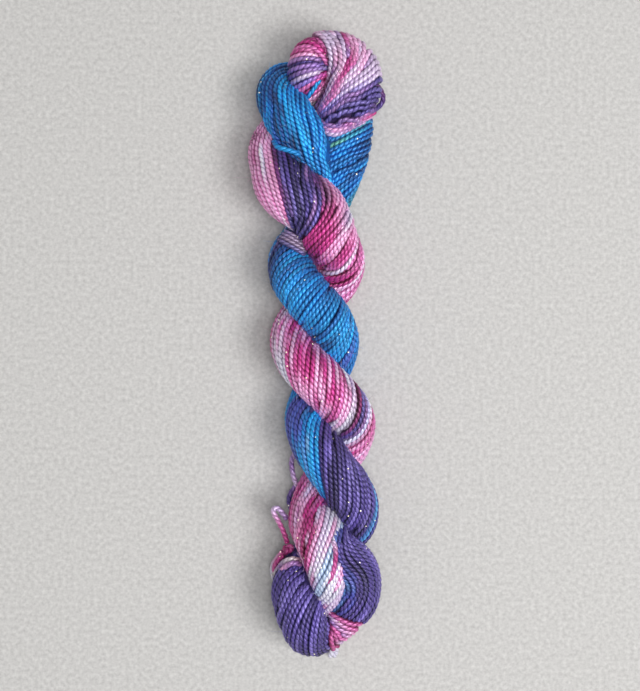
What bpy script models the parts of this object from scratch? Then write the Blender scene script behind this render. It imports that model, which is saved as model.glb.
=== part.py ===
"""A hank of hand-dyed yarn, laid flat.

A loop of yarn is wound, twisted and folded in half, so that its two thick plies wrap round each
other.  One end loop is opened, and the other end is drawn up through it and curls over as a knob.
A short tie of the same yarn is knotted at the lower left.

The hank lies along Y with the knob at +Y, and rests on z = 0.  Tables and sizes are in
millimetres, and every object is made in metres.
"""
import math
from collections import namedtuple

import bmesh
import bpy
from mathutils import Vector

MM = 0.001
NO_LENGTH = 1e-6            # below this a direction is too short to use

# Where the middle of the finished hank's outline lies in the tables' own x and y
MIDDLE_X = -0.48
MIDDLE_Y = 0.03

# The two plies of the rope
PLY_RADIUS = 8.8            # half the thickness of one ply at the rope's sides
PLY_SQUEEZE = 0.5           # a ply is this much thicker on top and thinner underneath
AXIS_HEIGHT = 15.1          # height of the rope's axis above the table
RISE = 7.5                  # a ply's centre climbs and sinks this far from that axis
ROWS_PER_TURN = 8           # rows read from the twist in each turn of a ply
TURN_LENGTH = 61.4          # length of rope that one turn of a ply takes

# The two bundles that each ply is wound from, with a soft groove between them
GROOVE_DEPTH = 0.15         # as a share of the ply's radius
GROOVE_WIDTH = 24.0         # degrees round the ply
GROOVE_LAY = 50.0           # degrees between the groove and the ply's own run

# How finely the wound form is made
SECTION_SIDES = 32
SECTION_STEP = 1.6
VOXEL = 1.0
SMOOTHING_FACTOR = 0.5
SMOOTHING_ROUNDS = 3
HANK_TRIANGLES = 9600
CUT_TOLERANCE = 0.001       # how near the table a corner counts as on it
SLIVER_LENGTH = 0.02        # edges shorter than this go from the flat spots' rims

# The tie
TIE_THICKNESS = 1.7
TIE_SIDES_LEVEL = 2         # a bevel resolution of 2 gives eight sides
TAIL_STEP = 2.0 * TIE_THICKNESS
LOOP_STEP = 0.55 * TIE_THICKNESS
KNOT_CENTRE = (-11.15, -77.75, 14.85)
KNOT_FACING = (-0.62, 0.62, 0.47)
KNOT_SIZE = 1.15            # radius of the overhand knot's curve
KNOT_ROWS = 90              # rows along that curve
KNOT_VOXEL = 0.3
KNOT_TRIANGLES = 700

# One row of the twist: y along the rope, x of its axis, how far a ply's centre swings to each
# side, and the angle of the first ply round the axis (0 right, 90 up, 180 left)
Twist = namedtuple("Twist", "y axis spread turn")
TWIST = [
    Twist(48.0, -1.5, 7.9, 92),
    Twist(31.5, -0.4, 9.5, 4),
    Twist(0.8, -1.1, 8.0, -178),
    Twist(-29.6, 4.4, 7.9, -359),
    Twist(-63.8, 6.1, 7.8, -537),
    Twist(-91.5, 2.7, 11.4, -722),
]

# One row of a bundle's run: where its centre lies, its half width and its half thickness
Row = namedtuple("Row", "x y z across thick")

# The knob, from its tucked-in end round the curl and down through the blue loop
KNOB = [
    Row(-4.6, 91.6, 12.6, 3.4, 3.4),
    Row(-3.9, 96.7, 16.4, 6.6, 6.6),
    Row(-3.3, 103.1, 19.4, 8.2, 8.2),
    Row(-0.8, 108.3, 19.9, 7.5, 7.5),
    Row(4.9, 110.1, 20.2, 7.3, 7.3),
    Row(10.9, 107.4, 20.6, 8.6, 8.6),
    Row(14.2, 101.2, 20.6, 10.0, 10.0),
    Row(13.5, 94.1, 20.2, 10.0, 10.0),
    Row(9.4, 87.8, 18.4, 8.8, 8.8),
    Row(3.8, 84.0, 14.2, 7.4, 7.4),
    Row(-3.0, 82.1, 10.6, 7.4, 7.4),
    Row(-9.8, 79.7, 10.4, 8.2, 8.2),
    Row(-14.6, 74.0, 12.8, 8.7, 8.7),
    Row(-16.1, 66.4, 16.3, 9.3, 9.3),
    Row(-13.0, 57.6, 20.4, 10.0, 10.0),
]

# The fold at the lower end, where the first ply turns under and comes up as the second
FOLD = [
    Row(12.4, -98.2, 12.8, 8.7, 8.7),
    Row(9.0, -103.7, 9.8, 7.9, 7.9),
    Row(5.2, -107.8, 8.8, 7.1, 7.1),
    Row(1.7, -110.1, 11.0, 6.9, 6.9),
    Row(-1.1, -110.0, 15.8, 7.1, 7.1),
    Row(-3.6, -106.7, 19.5, 7.9, 7.9),
    Row(-6.2, -100.0, 20.0, 8.6, 8.6),
]

# The pale bundle that parts from the first ply above the fold and dips into its eye
PALE_BUNDLE = [
    Row(-2.6, -70.1, 20.6, 6.2, 6.2),
    Row(0.6, -79.5, 23.0, 7.6, 7.6),
    Row(3.0, -87.8, 21.8, 7.4, 7.4),
    Row(4.2, -94.1, 17.6, 5.8, 5.8),
    Row(5.0, -98.8, 12.4, 4.6, 4.6),
    Row(5.8, -103.2, 8.0, 4.6, 4.6),
]

# Where the second ply runs up into the loop's two arms
JOIN = [
    Row(4.4, 54.4, 12.4, 7.8, 7.4),
    Row(7.3, 61.8, 15.2, 7.2, 6.2),
]

# The opened blue loop: up the left arm, round behind the knob, and down the right arm
LOOP = [
    Row(7.9, 61.1, 15.0, 7.5, 5.6),
    Row(3.8, 66.4, 19.5, 8.2, 5.2),
    Row(-1.9, 72.4, 22.3, 9.0, 4.9),
    Row(-6.8, 79.1, 23.0, 9.4, 4.9),
    Row(-11.6, 86.6, 21.6, 9.4, 4.9),
    Row(-15.0, 94.1, 17.6, 8.2, 4.9),
    Row(-13.5, 100.1, 12.0, 6.4, 4.5),
    Row(-7.5, 100.6, 7.4, 6.4, 4.3),
    Row(-0.4, 95.0, 4.2, 7.8, 4.4),
    Row(7.5, 91.6, 4.6, 7.6, 4.4),
    Row(13.9, 88.1, 9.4, 6.8, 4.9),
    Row(14.2, 82.1, 14.2, 7.1, 5.2),
    Row(12.9, 75.4, 16.5, 7.5, 5.6),
    Row(10.9, 68.6, 16.5, 7.5, 5.6),
]

# Routes of the tie's pieces, as points of a smooth curve
WHITE_TAIL = [
    (-13.2, -79.0, 13.6), (-14.9, -81.2, 12.0), (-16.5, -83.7, 9.2), (-17.2, -86.2, 6.6),
    (-17.1, -89.0, 4.1), (-16.2, -91.8, 2.2), (-14.6, -94.5, 1.2), (-12.4, -97.0, 1.0),
    (-9.8, -99.0, 1.0), (-7.0, -100.6, 1.0),
]
PINK_TAIL = [
    (-12.6, -80.1, 15.0), (-14.0, -81.2, 14.6), (-15.4, -83.0, 13.3), (-16.3, -85.2, 11.2),
    (-16.0, -87.6, 8.2), (-14.6, -89.6, 5.2), (-12.9, -91.4, 2.8), (-10.8, -93.0, 1.4),
    (-8.4, -94.2, 1.0), (-6.0, -95.0, 1.0), (-2.2, -95.8, 1.0),
]
BOW_LOOP = [
    (-11.3, -75.4, 15.2), (-12.6, -71.4, 15.6), (-14.7, -67.0, 15.9), (-16.5, -63.9, 15.9),
    (-16.2, -62.2, 15.9), (-14.6, -62.4, 15.9), (-12.7, -64.6, 15.8), (-11.5, -66.4, 15.6),
]

ROUGHNESS = 0.85
COLOURS = {
    "hank": (0.16, 0.12, 0.42),
    "tie_knot": (0.42, 0.05, 0.18),
    "tie_loop": (0.62, 0.36, 0.55),
    "tie_tail_white": (0.72, 0.70, 0.76),
    "tie_tail_pink": (0.60, 0.20, 0.40),
}


def clear_scene():
    for old in list(bpy.data.objects):
        bpy.data.objects.remove(old, do_unlink=True)


def between(before, start, end, after, share):
    """A point of the smooth curve through four neighbouring values, a share of the way along."""
    return 0.5 * (
        2.0 * start
        + (end - before) * share
        + (2.0 * before - 5.0 * start + 4.0 * end - after) * share ** 2
        + (3.0 * start - before - 3.0 * end + after) * share ** 3
    )


def smooth_rows(rows, step, closed=False):
    """Rows read every step along the smooth curve through the given ones."""
    count = len(rows)
    fine = []
    for index in range(count if closed else count - 1):
        four = [rows[(index + offset) % count if closed
                     else min(max(index + offset, 0), count - 1)] for offset in (-1, 0, 1, 2)]
        length = (Vector(four[2][:3]) - Vector(four[1][:3])).length
        pieces = max(1, round(length / step))
        for piece in range(pieces):
            share = piece / pieces
            fine.append(tuple(between(*values, share) for values in zip(*four)))
    if not closed:
        fine.append(tuple(rows[-1]))
    return fine


def twist_at(y):
    """The twist table read at one place along the rope."""
    last = len(TWIST) - 1
    index = 0
    while index < last - 1 and y < TWIST[index + 1].y:
        index += 1
    four = [TWIST[min(max(index + offset, 0), last)] for offset in (-1, 0, 1, 2)]
    share = (TWIST[index].y - y) / (TWIST[index].y - TWIST[index + 1].y)
    return [between(*values, share) for values in list(zip(*four))[1:]]


def ply_rows(start, end, half_turn):
    """Rows of one ply of the rope from one y to another; half_turn sets which ply it is."""
    count = max(1, round(abs(end - start) / TURN_LENGTH * ROWS_PER_TURN))
    rows = []
    for index in range(count + 1):
        y = start + (end - start) * index / count
        axis, spread, turn = twist_at(y)
        angle = math.radians(turn + half_turn)
        radius = PLY_RADIUS + PLY_SQUEEZE * math.sin(angle)
        rows.append(Row(axis + spread * math.cos(angle), y,
                        AXIS_HEIGHT + RISE * math.sin(angle), radius, radius))
    return rows


def groove(angle):
    """How much of the radius is left at an angle round the ply, beside the two grooves."""
    away = abs((math.degrees(angle) + 90.0) % 180.0 - 90.0)
    return 1.0 - GROOVE_DEPTH * math.exp(-(away / GROOVE_WIDTH) ** 2)


def add_tube(mesh, rows, closed=False, grooved=False):
    """Sweep the rows' elliptical sections into a tube, carried along without spinning."""
    count = len(rows)
    rings = []
    first_side = None
    roll = 0.0
    for index, (x, y, z, across, thick) in enumerate(rows):
        ahead = rows[(index + 1) % count if closed else min(index + 1, count - 1)]
        behind = rows[(index - 1) % count if closed else max(index - 1, 0)]
        run = (Vector(ahead[:3]) - Vector(behind[:3])).normalized()
        flat = run.cross(Vector((0, 0, 1)))
        flat = flat.normalized() if flat.length > NO_LENGTH else Vector((1, 0, 0))
        if first_side is None or closed:
            first_side = flat
        first_side = (first_side - run * first_side.dot(run)).normalized()
        second_side = run.cross(first_side)
        upright = run.cross(flat)
        ring = []
        for side in range(SECTION_SIDES):
            angle = 2.0 * math.pi * side / SECTION_SIDES
            out = first_side * math.cos(angle) + second_side * math.sin(angle)
            reach = 1.0 / math.hypot(out.dot(flat) / across, out.dot(upright) / thick)
            if grooved:
                reach *= groove(angle - roll)
            ring.append(mesh.verts.new((Vector((x, y, z)) + out * reach) * MM))
        rings.append(ring)
        roll += math.tan(math.radians(GROOVE_LAY)) * SECTION_STEP / across
    pairs = list(zip(rings, rings[1:]))
    if closed:
        pairs.append((rings[-1], rings[0]))
    else:
        mesh.faces.new(list(reversed(rings[0])))
        mesh.faces.new(rings[-1])
    for ring, following in pairs:
        for side in range(SECTION_SIDES):
            other = (side + 1) % SECTION_SIDES
            mesh.faces.new((ring[side], ring[other], following[other], following[side]))


def new_object(name, data):
    """Link an object of its own, with its own matt yarn material."""
    thing = bpy.data.objects.new(name, data)
    bpy.context.scene.collection.objects.link(thing)
    material = bpy.data.materials.new(name + "_yarn")
    material.use_nodes = True
    shader = material.node_tree.nodes["Principled BSDF"]
    shader.inputs["Base Color"].default_value = (*COLOURS[name], 1.0)
    shader.inputs["Roughness"].default_value = ROUGHNESS
    shader.inputs["Metallic"].default_value = 0.0
    data.materials.append(material)
    return thing


def evaluated_mesh(thing):
    """The object's mesh as its modifiers leave it, put in place of its first one."""
    view = bpy.context.evaluated_depsgraph_get()
    view.update()
    mesh = bpy.data.meshes.new_from_object(thing.evaluated_get(view))
    thing.modifiers.clear()
    return mesh


def fuse(mesh, name, voxel, triangles):
    """One closed skin round overlapping tubes, in about so many triangles."""
    data = bpy.data.meshes.new(name)
    bmesh.ops.recalc_face_normals(mesh, faces=mesh.faces)
    mesh.to_mesh(data)
    mesh.free()
    thing = new_object(name, data)
    remesh = thing.modifiers.new("one_skin", "REMESH")
    remesh.mode = "VOXEL"
    remesh.voxel_size = voxel * MM
    soften = thing.modifiers.new("soften", "SMOOTH")
    soften.factor = SMOOTHING_FACTOR
    soften.iterations = SMOOTHING_ROUNDS
    thing.data = evaluated_mesh(thing)
    keep_largest_shell(thing.data)
    thin = thing.modifiers.new("fewer_faces", "DECIMATE")
    triangles_now = 2.0 * len(thing.data.polygons)
    thin.ratio = triangles / triangles_now
    thin.use_collapse_triangulate = True
    thing.data = evaluated_mesh(thing)
    return thing


def keep_largest_shell(data):
    """Drop the skins of hollows that are sealed inside the wound form."""
    mesh = bmesh.new()
    mesh.from_mesh(data)
    unseen = set(mesh.verts)
    shells = []
    while unseen:
        shell = set()
        front = [unseen.pop()]
        while front:
            vertex = front.pop()
            shell.add(vertex)
            near = [edge.other_vert(vertex) for edge in vertex.link_edges]
            front.extend(other for other in near if other in unseen)
            unseen.difference_update(near)
        shells.append(shell)
    shells.sort(key=len)
    stray = [vertex for shell in shells[:-1] for vertex in shell]
    bmesh.ops.delete(mesh, geom=stray, context="VERTS")
    mesh.to_mesh(data)
    mesh.free()


def rest_flat(thing):
    """Press the form flat where it would sink below the table."""
    mesh = bmesh.new()
    mesh.from_mesh(thing.data)
    everything = list(mesh.verts) + list(mesh.edges) + list(mesh.faces)
    cut = bmesh.ops.bisect_plane(mesh, geom=everything, dist=CUT_TOLERANCE * MM,
                                 plane_co=(0, 0, 0), plane_no=(0, 0, 1), clear_inner=True)
    rim = [part for part in cut["geom_cut"] if isinstance(part, bmesh.types.BMEdge)]
    bmesh.ops.edgeloop_fill(mesh, edges=rim)
    bmesh.ops.dissolve_degenerate(mesh, dist=SLIVER_LENGTH * MM, edges=mesh.edges)
    bmesh.ops.triangulate(mesh, faces=mesh.faces)
    bmesh.ops.recalc_face_normals(mesh, faces=mesh.faces)
    mesh.to_mesh(thing.data)
    mesh.free()


def place(thing):
    """Bring the tables' own x and y to the middle of the finished outline."""
    if isinstance(thing.data, bpy.types.Mesh):
        for vertex in thing.data.vertices:
            vertex.co -= Vector((MIDDLE_X, MIDDLE_Y, 0.0)) * MM
    else:
        for point in thing.data.splines[0].points:
            x, y, z, weight = point.co
            point.co = (x - MIDDLE_X * MM, y - MIDDLE_Y * MM, z, weight)


def make_hank():
    top = TWIST[0].y
    low = TWIST[-1].y
    rope = KNOB + ply_rows(top, low, 0.0) + FOLD + ply_rows(low, top, 180.0) + JOIN
    mesh = bmesh.new()
    add_tube(mesh, smooth_rows(rope, SECTION_STEP), grooved=True)
    add_tube(mesh, smooth_rows(PALE_BUNDLE, SECTION_STEP))
    add_tube(mesh, smooth_rows(LOOP, SECTION_STEP, closed=True), closed=True)
    hank = fuse(mesh, "hank", VOXEL, HANK_TRIANGLES)
    rest_flat(hank)
    hank.data.shade_smooth()
    return hank


def make_knot():
    """An overhand knot, pulled tight until its turns meet."""
    mesh = bmesh.new()
    rows = []
    facing = Vector(KNOT_FACING).to_track_quat("Z", "Y")
    for index in range(KNOT_ROWS):
        angle = 2.0 * math.pi * index / KNOT_ROWS
        turn = Vector((math.sin(angle) + 2.0 * math.sin(2.0 * angle),
                       math.cos(angle) - 2.0 * math.cos(2.0 * angle),
                       -math.sin(3.0 * angle)))
        point = Vector(KNOT_CENTRE) + facing @ turn * KNOT_SIZE / 2.0
        rows.append(Row(*point, TIE_THICKNESS / 2.0, TIE_THICKNESS / 2.0))
    add_tube(mesh, rows, closed=True)
    knot = fuse(mesh, "tie_knot", KNOT_VOXEL, KNOT_TRIANGLES)
    knot.data.shade_smooth()
    return knot


def make_strand(name, route, step):
    """A plain round cord along the smooth curve through a route's points."""
    data = bpy.data.curves.new(name, "CURVE")
    data.dimensions = "3D"
    data.bevel_depth = TIE_THICKNESS / 2.0 * MM
    data.bevel_resolution = TIE_SIDES_LEVEL
    data.use_fill_caps = True
    points = smooth_rows(route, step)
    spline = data.splines.new("POLY")
    spline.points.add(len(points) - 1)
    for target, point in zip(spline.points, points):
        target.co = (*(Vector(point) * MM), 1.0)
    return new_object(name, data)


def build():
    clear_scene()
    pieces = [
        make_hank(),
        make_knot(),
        make_strand("tie_loop", BOW_LOOP, LOOP_STEP),
        make_strand("tie_tail_white", WHITE_TAIL, TAIL_STEP),
        make_strand("tie_tail_pink", PINK_TAIL, TAIL_STEP),
    ]
    for piece in pieces:
        place(piece)


build()
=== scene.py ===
# %% [markdown]
# # A hank of hand-dyed yarn, strand by strand
#
# A hank is one long loop of yarn, wound round and round, twisted tight and folded in half, so that
# its two thick plies wrap round each other.  One end loop is opened, and the other end is drawn up
# through it as a knob.  A plain solid of that form stands ready as the frame.
#
# The strands could be modelled one by one, or painted on the solid as a bump.  Here they are
# worked out.  Each ply is a tube along a smooth curve, and the strands run round it like stripes
# on a stick of rock, so a short table of how steeply they lie is all that has to be written down.
# Where another ply covers a strand it is cut away, and the rest becomes a curve with a bevel.
# %% The frame
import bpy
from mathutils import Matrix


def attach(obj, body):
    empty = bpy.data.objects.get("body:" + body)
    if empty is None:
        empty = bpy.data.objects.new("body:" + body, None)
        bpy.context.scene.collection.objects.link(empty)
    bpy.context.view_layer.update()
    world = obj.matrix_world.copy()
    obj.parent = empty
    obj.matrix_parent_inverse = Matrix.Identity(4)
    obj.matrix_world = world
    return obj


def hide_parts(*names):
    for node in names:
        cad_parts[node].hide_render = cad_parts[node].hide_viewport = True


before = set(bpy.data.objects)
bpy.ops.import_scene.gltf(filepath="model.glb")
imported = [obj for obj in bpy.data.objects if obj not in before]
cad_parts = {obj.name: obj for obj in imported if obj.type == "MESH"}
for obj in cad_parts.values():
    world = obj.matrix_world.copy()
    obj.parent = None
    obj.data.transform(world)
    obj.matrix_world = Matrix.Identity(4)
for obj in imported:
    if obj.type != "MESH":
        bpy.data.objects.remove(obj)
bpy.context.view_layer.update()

# %% Modules and the few sizes that everything else follows
import math
from collections import namedtuple

import bmesh
import bpy
import numpy as np
from mathutils import Vector
from mathutils.kdtree import KDTree

MM = 0.001
MIDDLE = np.array([-0.48, 0.03, 0.0])   # of the outline, in the tables' own millimetres
STRAND = 1.8                            # from one strand to the next
KNOB_STRAND = 2.0                       # the knob's strands lie a little looser
STATION = 1.0                           # how often a bundle's centre line is read
BEAD = 0.48                             # how often a strand is read
PLY_LENGTH = 4.3                        # length of strand that one turn of its two plies takes
UP = (0.0, 0.0, 1.0)
rng = np.random.default_rng(7)
scene = bpy.context.scene
print("a strand turns once in", PLY_LENGTH, "mm, read at", round(PLY_LENGTH / BEAD), "places")

# %% [markdown]
# A hank is photographed lying flat.  The camera looks straight down from well above, so its sides
# hardly show.
# %% Camera
camera_data = bpy.data.cameras.new("camera")
camera_data.sensor_width = 36.0
camera_data.lens = 83.4
camera = bpy.data.objects.new("camera", camera_data)
scene.collection.objects.link(camera)
camera.location = (0.0015, -0.0008, 0.62)
camera.rotation_euler = (0.0, 0.0, 0.0)
scene.camera = camera
print("the camera is", round(camera.location.z * 1000), "mm above the table")

# %% [markdown]
# Every strand and every bundle follows a smooth curve through a few listed points.
# Blender's own curves could do that, but the strands are worked out before they are curves, so the
# smoothing is four lines of arithmetic on the points.
# %% Smooth curves
PARTS_OF_A_SPAN = 40


def running(steps):
    """The running total of some steps, which starts at nothing."""
    return np.concatenate([[0.0], np.cumsum(steps)])


def lengths(places):
    """How far along a line of places each one is."""
    return running(np.linalg.norm(np.diff(places, axis=0), axis=1))


def unit(vectors):
    """The same directions, each of length one."""
    return vectors / np.linalg.norm(vectors, axis=-1, keepdims=True)


def read_at(where, along, rows):
    """Rows of values, read between the places where they are known."""
    return np.stack([np.interp(where, along, column) for column in np.array(rows).T], axis=1)


def between(before, start, end, after, share):
    """A point of the smooth curve through four neighbouring values, a share of the way along."""
    return 0.5 * (
        2.0 * start
        + (end - before) * share
        + (2.0 * before - 5.0 * start + 4.0 * end - after) * share ** 2
        + (3.0 * start - before - 3.0 * end + after) * share ** 3
    )


def smooth(rows, step):
    """Places along the smooth curve through some rows, in mm, and the rows read there."""
    rows = np.array(rows, float)
    share = np.arange((len(rows) - 1) * PARTS_OF_A_SPAN) / PARTS_OF_A_SPAN
    span = share.astype(int)
    four = [rows[np.clip(span + offset, 0, len(rows) - 1)] for offset in (-1, 0, 1, 2)]
    fine = np.vstack([between(*four, (share - span)[:, None]), rows[-1:]])
    gone = lengths(fine[:, :3])
    along = np.linspace(0.0, gone[-1], max(2, round(gone[-1] / step) + 1))
    return along, read_at(along, gone, fine)


print("a smooth curve is worked out at", PARTS_OF_A_SPAN, "places from one point to the next")

# %% [markdown]
# The yarn was painted with dye by hand, a stretch at a time, and where two dyes meet they run
# together.  The dyes are mixed and named, so that every table below can say "plum".
# %% Dyes
def linear(red, green, blue):
    """A colour of 0 to 255 as light, which is what a shader reads."""
    return [((value / 255.0 + 0.055) / 1.055) ** 2.4 for value in (red, green, blue)]


MAGENTA = linear(184, 42, 128)
DEEP_MAGENTA = linear(140, 28, 102)
PINK = linear(214, 110, 176)
LIGHT_PINK = linear(236, 174, 216)
LILAC = linear(220, 198, 230)
WHITE = linear(228, 224, 240)
CREAM = linear(222, 214, 214)
MAUVE = linear(160, 118, 182)
LAVENDER = linear(126, 110, 188)
PALE_VIOLET = linear(178, 166, 226)
PURPLE = linear(83, 66, 143)
DARK_PURPLE = linear(50, 34, 98)
PLUM = linear(104, 44, 110)
VIOLET_BLUE = linear(76, 82, 172)
BLUE = linear(8, 130, 206)
BRIGHT_BLUE = linear(22, 164, 230)
SKY = linear(128, 178, 226)
STEEL_BLUE = linear(84, 124, 188)
PALE_BLUE = linear(188, 206, 232)
DEEP_BLUE = linear(10, 98, 168)
NAVY = linear(34, 56, 128)
TEAL = linear(44, 142, 170)
GREEN = linear(84, 150, 130)
print("the deepest dye reflects", round(max(DARK_PURPLE), 2), "and the palest", round(max(WHITE), 2))

# %% [markdown]
# A strand is two plies twisted together, and up close each turn looks like a bead.  A round tube
# with a bump on it would lose the beads from the side.  So the section has two lobes, and the
# curve's tilt twists them.  The bevel makes all the strands of a part of the hank at once.  Each
# vertex also keeps how high it stands on its strand, so that painted shade can darken the valleys
# between.
# %% Strands into meshes
Strand = namedtuple("Strand", "places colours seed bundle middle thickness outward")
SIDES = 8
LOBE_REACH = 1.05           # mm from the middle of a strand to the outside of a ply
WAIST = 0.85                # mm from its middle to where the plies meet
# painted shade: a loose strand has no neighbours, so it takes one middling height for the valley shade
LOOSE_CREST = 0.74          # a strand that lies by itself is this light all over


def section():
    """The two-lobed outline of a strand, as a closed curve for the bevel."""
    data = bpy.data.curves.new("strand_section", "CURVE")
    data.dimensions = "2D"
    spline = data.splines.new("POLY")
    spline.points.add(SIDES - 1)
    spline.use_cyclic_u = True
    for index, point in enumerate(spline.points):
        angle = 2.0 * math.pi * index / SIDES
        reach = WAIST + (LOBE_REACH - WAIST) * abs(math.cos(angle)) ** 0.8
        point.co = (reach * math.cos(angle) * MM, reach * math.sin(angle) * MM, 0.0, 1.0)
    outline = bpy.data.objects.new("strand_section", data)
    scene.collection.objects.link(outline)
    return outline


def bevelled(name, strands, gone):
    """A mesh of the strands: one curve, with a spline for each, and the section as its bevel."""
    data = bpy.data.curves.new(name, "CURVE")
    data.dimensions = "3D"
    data.bevel_mode = "OBJECT"
    data.bevel_object = outline
    for strand, along in zip(strands, gone):
        spline = data.splines.new("POLY")
        spline.points.add(len(along) - 1)
        points = np.column_stack([strand.places * MM, np.ones(len(along))])
        spline.points.foreach_set("co", points.ravel())
        spline.points.foreach_set("tilt", (strand.seed - along / PLY_LENGTH) * 2.0 * np.pi)
        spline.points.foreach_set("radius", strand.thickness)
    curve = bpy.data.objects.new(name, data)
    scene.collection.objects.link(curve)
    view = bpy.context.evaluated_depsgraph_get()
    view.update()
    mesh = bpy.data.meshes.new_from_object(curve.evaluated_get(view))
    bpy.data.objects.remove(curve)
    return mesh


def add_attribute(mesh, name, kind, key, values):
    """Values that the shader can read, one row for each vertex."""
    mesh.attributes.new(name, kind, "POINT").data.foreach_set(key, np.ravel(values))


def on_rings(rows):
    """Each row of a strand repeated for the ring of vertices that the bevel puts there."""
    return np.repeat(rows, SIDES, axis=0)


def fibres(strand, along):
    """How far along its strand each vertex is, and the cosine and sine of its place around it."""
    around = np.tile(np.arange(SIDES) * 2.0 * np.pi / SIDES, len(along))
    return np.column_stack([on_rings(along * 0.5 + strand.seed * 900.0), np.cos(around), np.sin(around)])


def crests(mesh, strands):
    """How high each vertex stands on its strand, away from the middle of the bundle."""
    spots = np.empty(len(mesh.vertices) * 3)
    mesh.vertices.foreach_get("co", spots)
    middles = np.vstack([on_rings(strand.places) for strand in strands])
    outward = np.vstack([on_rings(strand.outward) for strand in strands]) / LOBE_REACH
    height = np.sum((spots.reshape(-1, 3) / MM - middles) * outward, axis=1)
    return np.where(np.linalg.norm(outward, axis=1) < 0.1, LOOSE_CREST, height)


def fill_ends(mesh):
    """The open ends of the strands, closed."""
    ends = bmesh.new()
    ends.from_mesh(mesh)
    rims = [edge for edge in ends.edges if edge.is_boundary]
    bmesh.ops.holes_fill(ends, edges=rims, sides=0)
    bmesh.ops.recalc_face_normals(ends, faces=ends.faces)
    ends.to_mesh(mesh)
    ends.free()


def yarn_piece(name, strands):
    """One piece of many strands, each vertex with its dye and its place on the strand."""
    gone = [lengths(strand.places) for strand in strands]
    mesh = bevelled(name, strands, gone)
    dyes = np.vstack([on_rings(strand.colours) for strand in strands])
    add_attribute(mesh, "dye", "FLOAT_COLOR", "color", np.column_stack([dyes, np.ones(len(dyes))]))
    places = np.vstack([fibres(strand, along) for strand, along in zip(strands, gone)])
    add_attribute(mesh, "fibre", "FLOAT_VECTOR", "vector", places)
    add_attribute(mesh, "crest", "FLOAT", "value", crests(mesh, strands))
    fill_ends(mesh)
    mesh.shade_smooth()
    mesh.materials.append(yarn)
    piece = bpy.data.objects.new(name, mesh)
    scene.collection.objects.link(piece)
    print(name, sum(len(face.vertices) - 2 for face in mesh.polygons), "triangles")
    return piece


outline = section()
print("a strand's section has", SIDES, "sides and is", 2.0 * LOBE_REACH, "mm across its two lobes")

# %% [markdown]
# A shader is a graph of nodes, and a sum of three values takes two of them.  Written as nodes and
# links, a formula can't be read any more.  These two classes let Python's own signs add the nodes.
# %% Shader maths written as expressions
class Socket:
    """A shader socket that Python's own arithmetic works on."""

    def __init__(self, tree, out):
        self.tree, self.out = tree, out

    def maths(self, operation, *values):
        node = self.tree.nodes.new("ShaderNodeMath")
        node.operation = operation
        for socket, value in zip(node.inputs, values):
            if isinstance(value, Socket):
                self.tree.links.new(value.out, socket)
            else:
                socket.default_value = value
        return Socket(self.tree, node.outputs[0])

    def __add__(self, other):
        return self.maths("ADD", self, other)

    def __rsub__(self, other):
        return self.maths("SUBTRACT", other, self)

    def __mul__(self, other):
        return self.maths("MULTIPLY", self, other)

    def __lt__(self, other):
        return self.maths("LESS_THAN", self, other)

    def __gt__(self, other):
        return self.maths("GREATER_THAN", self, other)

    def __pow__(self, other):
        return self.maths("POWER", self, other)

    def __abs__(self):
        return self.maths("ABSOLUTE", self)

    __radd__ = __add__
    __rmul__ = __mul__


class Shader:
    """A material's node tree, with one method that adds any node."""

    def __init__(self, name):
        self.material = bpy.data.materials.new(name)
        self.material.use_nodes = True
        self.tree = self.material.node_tree
        self.principled = self.tree.nodes["Principled BSDF"]

    def node(self, kind, settings=None, output=0, **inputs):
        node = self.tree.nodes.new(kind)
        for setting, value in (settings or {}).items():
            setattr(node, setting, value)
        for name, value in inputs.items():
            label = name.replace("_", " ")
            socket = node.inputs[int(label[2:])] if label.startswith("in") else node.inputs[label]
            self.feed(socket, value)
        return Socket(self.tree, node.outputs[output])

    def feed(self, socket, value):
        if isinstance(value, Socket):
            self.tree.links.new(value.out, socket)
        else:
            socket.default_value = value

    def mix(self, share, first, second):
        return self.node("ShaderNodeMix", {"data_type": "RGBA"}, output=2, in0=share, in6=first, in7=second)

    def surface(self, **inputs):
        for name, value in inputs.items():
            self.feed(self.principled.inputs[name.replace("_", " ")], value)


print("sockets can now be added, multiplied, compared and raised to a power")

# %% [markdown]
# Yarn isn't one colour, even where it took one dye.  It is darker in one fibre than the next, fine
# fibres make the surface rough, and here and there a thread of glitter shows.  Painted shade darkens
# the valleys between the strands and the creases between the plies, a painted sheen lightens the
# plies' tops, and the glitter gets a painted glint and glow.  A picture could hold all that, but it
# would be as coarse as its pixels, so it is noise along each strand, from the attributes that the
# strand's vertices carry.
# %% The yarn's material
VALLEY, CREST = 0.34, 0.95              # heights on a strand, from darkest to lightest
GLITTER_CELLS = 300.0                   # along a metre, each with room for one glint
GLITTER_SIZE = 0.085
GLITTER_BARE = 0.55                     # the share of cells with no glint
# the glitter's own gold, lightened into a painted glint, and its painted glow
GLITTER_GLINT = (1.0, 0.93, 0.72, 1.0)
GLOW = (1.0, 0.92, 0.66, 1.0)
BLACK = (0.0, 0.0, 0.0, 1.0)
# colour of a painted sheen on the tops of the plies
PAINTED_SHEEN = (0.8, 0.82, 0.9, 1.0)


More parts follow.
